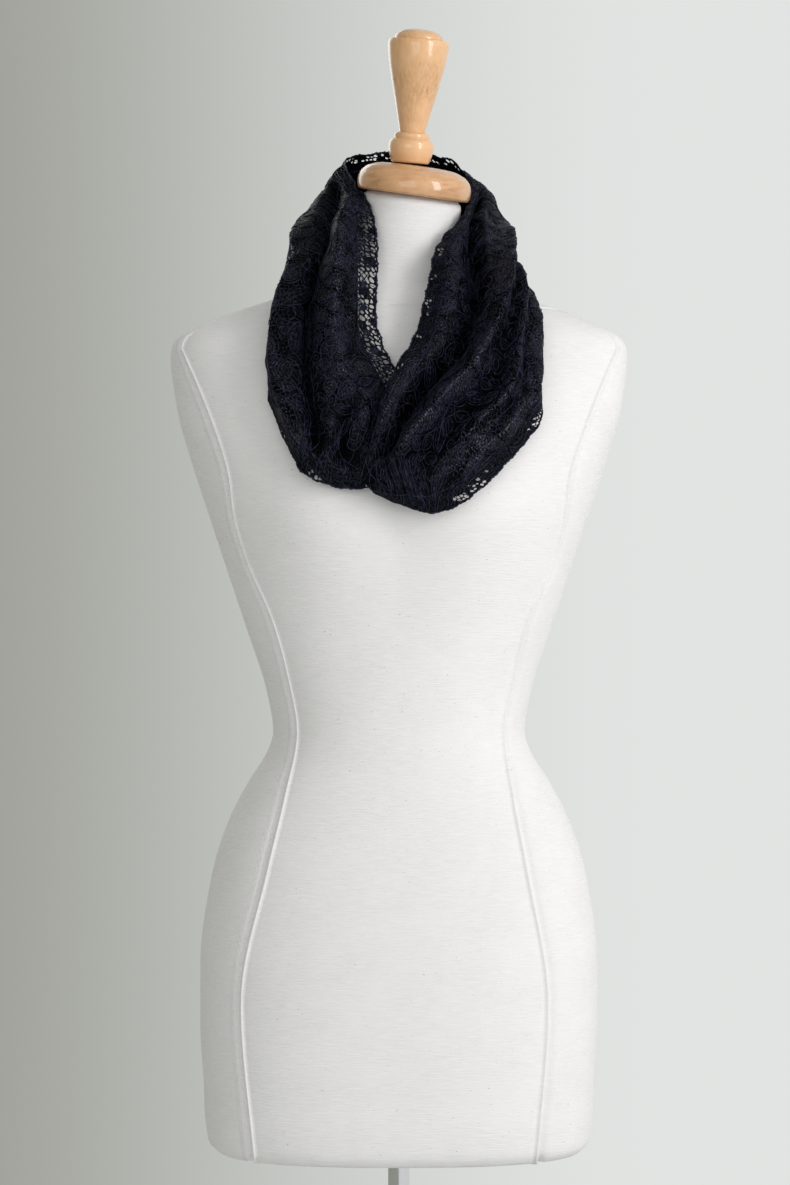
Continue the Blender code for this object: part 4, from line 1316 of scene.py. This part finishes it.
# %% Tree: round cords
round_cords, given, end = geometry_tree(
    "round_cords", (("Radius", "Float", 0.45), ("Sides", "Int", 4), ("Material", "Material", None))
)
strands = add_node(round_cords, "GeometryNodeMeshToCurve", {"Mesh": given["Geometry"]})
section = add_node(
    round_cords,
    "GeometryNodeCurvePrimitiveCircle",
    {"Resolution": given["Sides"], "Radius": given["Radius"]},
)
cords = add_node(
    round_cords,
    "GeometryNodeCurveToMesh",
    {
        "Curve": strands,
        "Profile Curve": section,
        "Scale": named_attribute(round_cords, "thick"),
        "Fill Caps": True,
    },
)
finish_tree(round_cords, given, end, cords)
print("geometry trees:", lay_motifs.name, flat_net.name, round_cords.name)

# %% [markdown]
# ## Where the motifs go
#
# Lace of this kind is crowded: the motifs sit in staggered rows, each turned its own way, so
# that no two neighbours match. A fixed seed keeps the layout the same on each run.

# %% Lay out the motifs
MOTIF_PITCH = 24.5
COLUMN_SHARE = 0.87
SPOT_SHIFT = 3.0
KIND_SHARES = (0.27, 0.26, 0.17, 0.2, 0.10)
SIZE_RANGE = (0.82, 1.08)
rng = np.random.default_rng(7)
places = []
for column, along in enumerate(np.arange(12.0, LOOP_LENGTH, MOTIF_PITCH * COLUMN_SHARE)):
    width = float(width_at(along))
    count = max(int(round(width / MOTIF_PITCH)), 1)
    offset = 0.25 if column % 2 else 0.75
    for row in range(count):
        share = (row + offset) / count
        shift_along, shift_across = (rng.uniform(-SPOT_SHIFT, SPOT_SHIFT) for _ in range(2))
        kind_index = int(rng.choice(5, p=KIND_SHARES))
        spot = (along + shift_along, share * width + shift_across)
        places.append((*spot, kind_index, rng.uniform(0.0, 2 * math.pi), rng.uniform(*SIZE_RANGE)))
motif_places = np.array(places)
print(len(motif_places), "motifs")

# %% Where the petals are solid
def petals_at(along, across):
    """How solid the ground is at flat places, and the run of the ribs there."""
    solid = np.zeros_like(along)
    ribs = np.zeros_like(along)
    for spot_along, spot_across, kind_index, turn_angle, scale in motif_places:
        near = np.hypot(along - spot_along, across - spot_across) < 27.0
        if not near.any():
            continue
        local = np.stack([along[near] - spot_along, across[near] - spot_across], axis=1) / scale
        local = local @ turn_by(math.degrees(turn_angle))
        for base_at, angle, length, width in MOTIFS[int(kind_index)][2]:
            x, y = ((local - np.array(base_at)) @ turn_by(angle)).T
            half = width / 2 * np.sin(math.pi * np.clip(x / length, 0.0, 1.0)) ** 0.75
            inside = smooth_step((half - np.abs(y)) / 1.4)
            better = inside > solid[near]
            spots = np.flatnonzero(near)[better]
            solid[spots] = inside[better]
            ribs[spots] = (x + 0.55 * np.abs(y))[better]
    return solid, ribs


# %% [markdown]
# ## The ground of the lace
#
# Each stretch is a thin closed sheet, half a millimetre thick and raised a little under the
# worked petals. Along both edges it stops where the openwork border is sewn on.

# %% Ground sheets
SHEET_PITCH = 1.9
SHEET_HALF = 0.28
BORDER_WIDTH = 18.0
NARROWEST_BORDER = 0.22
PETAL_RISE = 0.45


def border_at(along):
    return np.minimum(BORDER_WIDTH, NARROWEST_BORDER * width_at(along))


def sheet_piece(name, along, start_at, end_at):
    """A closed thin sheet between two lines that run along the band."""
    columns = len(along)
    rows = max(int((end_at - start_at).max() / SHEET_PITCH) + 1, 4)
    across = start_at[:, None] + (end_at - start_at)[:, None] * np.linspace(0.0, 1.0, rows)[None, :]
    across = across.ravel()
    along = np.repeat(along, rows)
    solid, ribs = petals_at(along, across)
    outer = wrap(along, across, SHEET_HALF + PETAL_RISE * solid)
    inner = wrap(along, across, np.full(len(across), -SHEET_HALF))
    points, faces = closed_sheet(outer, inner, grid_faces(columns, rows, flip=True))
    return ground_piece(name, points, faces, along, across, solid, ribs)


def ground_piece(name, points, faces, along, across, petal, rib):
    """A two-sided sheet in the ground's finish, with what its shader reads."""
    # The fold value is painted shade, which darkens the ground's colour in the valleys of the folds.
    values = {"petal": petal, "rib": rib, "painted_fold_light": openness_at(along, across)}
    values = {key: np.tile(row, 2) for key, row in values.items()}
    uv = np.tile(np.stack([along, across], axis=1), (2, 1))
    return piece_from(name, points, faces, ground, uv, values)


def columns_of(first, last):
    return np.linspace(first, last, int((last - first) / SHEET_PITCH) + 1)


sheets = {}
for name, first, last in STRETCHES:
    along = columns_of(first, last)
    end_at = width_at(along) - border_at(along)
    sheets[name] = sheet_piece(f"lace_{name}_ground", along, border_at(along), end_at)
for name, piece in sheets.items():
    dress(piece, f"lace_{name}")

# %% [markdown]
# ## Cords on the motifs
#
# The flat drawings of a stretch are laid on their points, wrapped onto the cloth as lines and
# only then given their round section, so a cord stays round wherever the cloth is squeezed.

# %% Wrap lines and make cords
CORD_RADIUS = 0.36


def lines_of(mesh):
    """Points, edges and thickness of a mesh of lines."""
    points = np.empty(len(mesh.vertices) * 3)
    mesh.vertices.foreach_get("co", points)
    edges = np.empty(len(mesh.edges) * 2, np.int32)
    mesh.edges.foreach_get("vertices", edges)
    thickness = np.ones(len(mesh.vertices))
    if "thick" in mesh.attributes:
        mesh.attributes["thick"].data.foreach_get("value", thickness)
    return points.reshape(-1, 3), edges.reshape(-1, 2), thickness


def corded(name, points, edges, thickness, radius, sides=4):
    """A piece of round cords along lines in space, in millimetres."""
    used = np.unique(edges)
    new_index = np.full(len(points), -1)
    new_index[used] = np.arange(len(used))
    mesh = bpy.data.meshes.new(name)
    mesh.from_pydata((points[used] * MM).tolist(), new_index[edges].tolist(), [])
    mesh.attributes.new("thick", "FLOAT", "POINT").data.foreach_set("value", thickness[used].astype(np.float32))
    values = {"Radius": radius * MM, "Sides": sides, "Material": cord_yarn}
    made = run_tree(round_cords, bpy.data.objects.new(name, mesh), values)
    made.name = name
    made.shade_smooth()
    obj = bpy.data.objects.new(name, made)
    bpy.context.scene.collection.objects.link(obj)
    return obj


def motif_cords(name, first, last):
    """The outlines and veins of the motifs of one stretch."""
    here = motif_places[(motif_places[:, 0] >= first) & (motif_places[:, 0] < last)]
    mesh = bpy.data.meshes.new(name)
    mesh.from_pydata([(row[0], row[1], 0.0) for row in here], [], [])
    for column, (key, kind) in enumerate((("kind", "INT"), ("turn", "FLOAT"), ("size", "FLOAT")), start=2):
        number_kind = np.int32 if kind == "INT" else np.float32
        mesh.attributes.new(key, kind, "POINT").data.foreach_set("value", here[:, column].astype(number_kind))
    values = {"Motifs": motif_drawings, "Material": cord_yarn}
    points, edges, thickness = lines_of(run_tree(lay_motifs, bpy.data.objects.new(name, mesh), values))
    along, across = points[:, 0], points[:, 1]
    inside = (along > 1.0) & (along < LOOP_LENGTH - 1.0) & (across > 1.5) & (across < width_at(along) - 1.5)
    edges = edges[inside[edges].all(axis=1)]
    lifted = SHEET_HALF + PETAL_RISE * 0.5 + CORD_RADIUS * 0.6 * thickness
    return corded(name, wrap(along, across, lifted), edges, thickness, CORD_RADIUS)


cord_pieces = {name: motif_cords(f"lace_{name}_cords", first, last) for name, first, last in STRETCHES}
for piece in cord_pieces.values():
    dress(piece)

# %% [markdown]
# ## Openwork borders
#
# Both edges of the loop end in openwork, through which the form shows white. The tree makes a
# flat net, and each of its meshes gets a round hole or stays worked solid: nearly all are open
# at the wearer's right side of the neck, and elsewhere small clusters of them. The net is then
# wrapped, closed to a thin sheet, and finished with a firm cord and tiny picots at the free
# edge, and small worked flowers where it is most open.

# %% Border rows
# side and stretch: the nearest and the farthest hole from the free edge, the share of the
# meshes of a cluster that are open, the clusters' spacing, length and first middle, and the
# size of the meshes
OPENWORK = {
    ("neck", "right"): (1.8, 6.5, 0.45, 31.0, 14.0, 9.0, 3.3),
    ("neck", "back"): (1.4, 9.0, 0.85, 19.0, 13.0, 5.0, 3.6),
    ("neck", "left"): (1.2, 18.0, 1.00, 29.0, 24.0, 12.0, 4.9),
    ("outer", "right"): (2.8, 9.0, 0.70, 93.0, 34.0, 85.0, 3.3),
    ("outer", "back"): (2.0, 8.0, 0.60, 41.0, 24.0, 10.0, 3.5),
    ("outer", "left"): (2.0, 6.0, 0.55, 47.0, 15.0, 20.0, 3.1),
}
HOLE_SHARE = (0.55, 0.92)
EDGE_SCALLOPS = ((17.0, 0.45, 0.4), (7.1, 0.25, 2.0))
BORDER_CORD = 0.46
EDGE_INSET = 0.9
SEAM_THICKNESS = 1.4
PICOT_PITCH = 3.9
PICOT_REACH = 0.7


def border_run(outer):
    """Distances along the middle of a border, for each column of the grid."""
    offset = border_at(run_at) / 2
    line = wrap(run_at, band_width - offset if outer else offset, np.zeros_like(run_at))
    return run_along(line)


def scalloped(run, reach):
    """Distances from the free edge, moved in and out with its scallops."""
    shift = sum(size * np.sin(2 * math.pi * run / length + phase) for length, size, phase in EDGE_SCALLOPS)
    return reach + shift * (1 - reach / BORDER_WIDTH)


def on_cloth(run, reach, outer, first):
    """Places on the flat loop for places in a border."""
    runs = border_run(outer)
    along = np.interp(run + np.interp(first, run_at, runs), runs, run_at)
    reach_in = scalloped(run, reach) * border_at(along) / BORDER_WIDTH
    return along, width_at(along) - reach_in if outer else reach_in


# %% Net with round holes
def left_open(middles, nearest, farthest, share, spacing, length, first_middle, net_rng):
    """Which meshes stay open: most of those in a cluster."""
    run, reach = middles.T
    wave = np.cos(2 * math.pi * (run - first_middle) / spacing) - math.cos(math.pi * length / spacing)
    wave += 0.35 * np.sin(reach / 1.9 + run / 7.0)
    inside = (reach > nearest) & (reach < farthest) & (wave > 0.0)
    return inside & (net_rng.random(len(run)) < share)


def pierced_net(mesh, shift, row, net_rng):
    """Flat points and faces of a net, with a round hole in each open mesh."""
    points = [np.array(vertex.co[:2]) + shift for vertex in mesh.vertices]
    cells = [list(polygon.vertices) for polygon in mesh.polygons]
    middles = np.array([np.mean([points[corner] for corner in cell], axis=0) for cell in cells])
    is_open = left_open(middles, *row, net_rng)
    halfway, faces = {}, []
    for cell, middle, opened in zip(cells, middles, is_open):
        rim = []
        for first, second in zip(cell, cell[1:] + cell[:1]):
            key = (min(first, second), max(first, second))
            if key not in halfway:
                halfway[key] = len(points)
                points.append((points[first] + points[second]) / 2)
            rim += [first, halfway[key]]
        share = net_rng.uniform(*HOLE_SHARE)
        hole = list(range(len(points), len(points) + len(rim)))
        for number, corner in enumerate(rim):
            rounding = 0.90 if number % 2 == 0 else 1.06
            points.append(middle + (points[corner] - middle) * share * rounding)
        for number in range(len(rim)):
            after = (number + 1) % len(rim)
            faces.append((rim[number], rim[after], hole[after], hole[number]))
        if not opened:
            faces.append(tuple(hole))
    return np.array(points), faces


def pierced_piece(side, stretch, first, last, seed):
    """The worked and pierced sheet of one border."""
    outer = side == "outer"
    begin, finish = np.interp([first, last], run_at, border_run(outer))
    *row, mesh_size = OPENWORK[side, stretch]
    name = f"border_{side}_{stretch}_worked"
    values = {
        "Length": finish - begin,
        "Width": BORDER_WIDTH - 0.6,
        "Mesh Size": mesh_size,
        "Unevenness": 0.22 * mesh_size,
        "Seed": seed,
        "Material": ground,
    }
    net_mesh = run_tree(flat_net, bpy.data.objects.new(name, bpy.data.meshes.new(name)), values)
    shift = np.array([(finish - begin) / 2, BORDER_WIDTH / 2])
    points, faces = pierced_net(net_mesh, shift, row, np.random.default_rng(seed))
    run = np.clip(points[:, 0], 0.0, finish - begin)
    along, across = on_cloth(run, np.clip(points[:, 1], EDGE_INSET, BORDER_WIDTH), outer, first)
    half = np.full(len(along), SHEET_HALF)
    sheet_points, sheet_faces = closed_sheet(wrap(along, across, half), wrap(along, across, -half), faces)
    _, ribs = petals_at(along, across)
    ribs = np.where(ribs > 0, ribs, points[:, 1])
    return ground_piece(name, sheet_points, sheet_faces, along, across, np.ones(len(along)), ribs)


bands = {}
for number, (name, first, last) in enumerate(STRETCHES):
    for side in ("neck", "outer"):
        bands[side, name] = pierced_piece(side, name, first, last, 11 + number)
        dress(bands[side, name])

# %% Border cords
def edge_lines(length, seed):
    """The firm cord and the picots of the free edge, and the cord over the seam."""
    edge_rng = np.random.default_rng(seed)
    run = np.arange(0.0, length, 1.3)
    picots = np.maximum(np.sin(2 * math.pi * run / PICOT_PITCH), 0.0) ** 2
    picots *= PICOT_REACH * edge_rng.uniform(0.3, 1.5, len(run))
    plump = 1.5 + 0.4 * np.sin(run / 2.3 + 0.6 * np.sin(run / 11.0))
    pairs = np.stack([np.arange(len(run) - 1), np.arange(1, len(run))], axis=1)
    return [
        (np.stack([run, across], axis=1), pairs, thickness)
        for across, thickness in (
            (np.full_like(run, EDGE_INSET), plump),
            (EDGE_INSET - 0.5 - picots, np.full_like(run, 0.9)),
            (np.full_like(run, BORDER_WIDTH - 0.3), np.full_like(run, SEAM_THICKNESS)),
        )
    ]


def sprig_lines(length, seed):
    """Small worked flowers in the border: their petals as short thick lines."""
    sprig_rng = np.random.default_rng(seed)
    parts = []
    place = 6.0
    while place < length - 6.0:
        middle = np.array([place, sprig_rng.uniform(6.0, 13.5)])
        for turn_angle in sprig_rng.uniform(0.0, 360.0) + np.arange(5) * 72.0:
            petal_line = np.array([[0.6, 0.0], [2.2, 0.0], [4.0, 0.0]]) @ turn_by(turn_angle).T + middle
            parts.append((petal_line, np.array([(0, 1), (1, 2)]), np.array([1.5, 3.3, 1.2])))
        place += sprig_rng.uniform(17.0, 30.0)
    return parts


def border_cords(side, stretch, first, last, seed):
    outer = side == "outer"
    begin, finish = np.interp([first, last], run_at, border_run(outer))
    parts = edge_lines(finish - begin, seed)
    if OPENWORK[side, stretch][1] >= BORDER_WIDTH:
        parts += sprig_lines(finish - begin, seed)
    firsts = np.cumsum([0] + [len(part[0]) for part in parts])
    points = np.concatenate([part[0] for part in parts])
    edges = np.concatenate([part[1] + first_point for part, first_point in zip(parts, firsts)])
    thickness = np.concatenate([part[2] for part in parts])
    along, across = on_cloth(points[:, 0], points[:, 1], outer, first)
    placed = wrap(along, across, np.zeros(len(across)))
    return corded(f"border_{side}_{stretch}_net", placed, edges, thickness, BORDER_CORD)


borders = {}
for number, (name, first, last) in enumerate(STRETCHES):
    for side in ("neck", "outer"):
        borders[side, name] = border_cords(side, name, first, last, 11 + number)
        dress(borders[side, name], f"border_{side}_{name}")

# %% [markdown]
# ## The size of each stretch
#
# The length of each stretch along the loop and its mean width between its borders are printed.

for name, first, last in STRETCHES:
    middle_at = np.linspace(first, last, 60)
    width = float((width_at(middle_at) - 2 * border_at(middle_at)).mean())
    print(f"lace {name}: cut {last - first:.0f} by {width:.0f} mm between its borders")

# %% Floor finish
floor_finish, tree, shader = new_material("pale_floor", Roughness=0.85)
clouds = add_mottle(tree, object_place(tree), 3.0, (0.62, 0.63, 0.61, 1.0), (0.66, 0.67, 0.65, 1.0))
set_inputs(tree, shader, {"Base Color": clouds})
floor_mesh.materials.append(floor_finish)
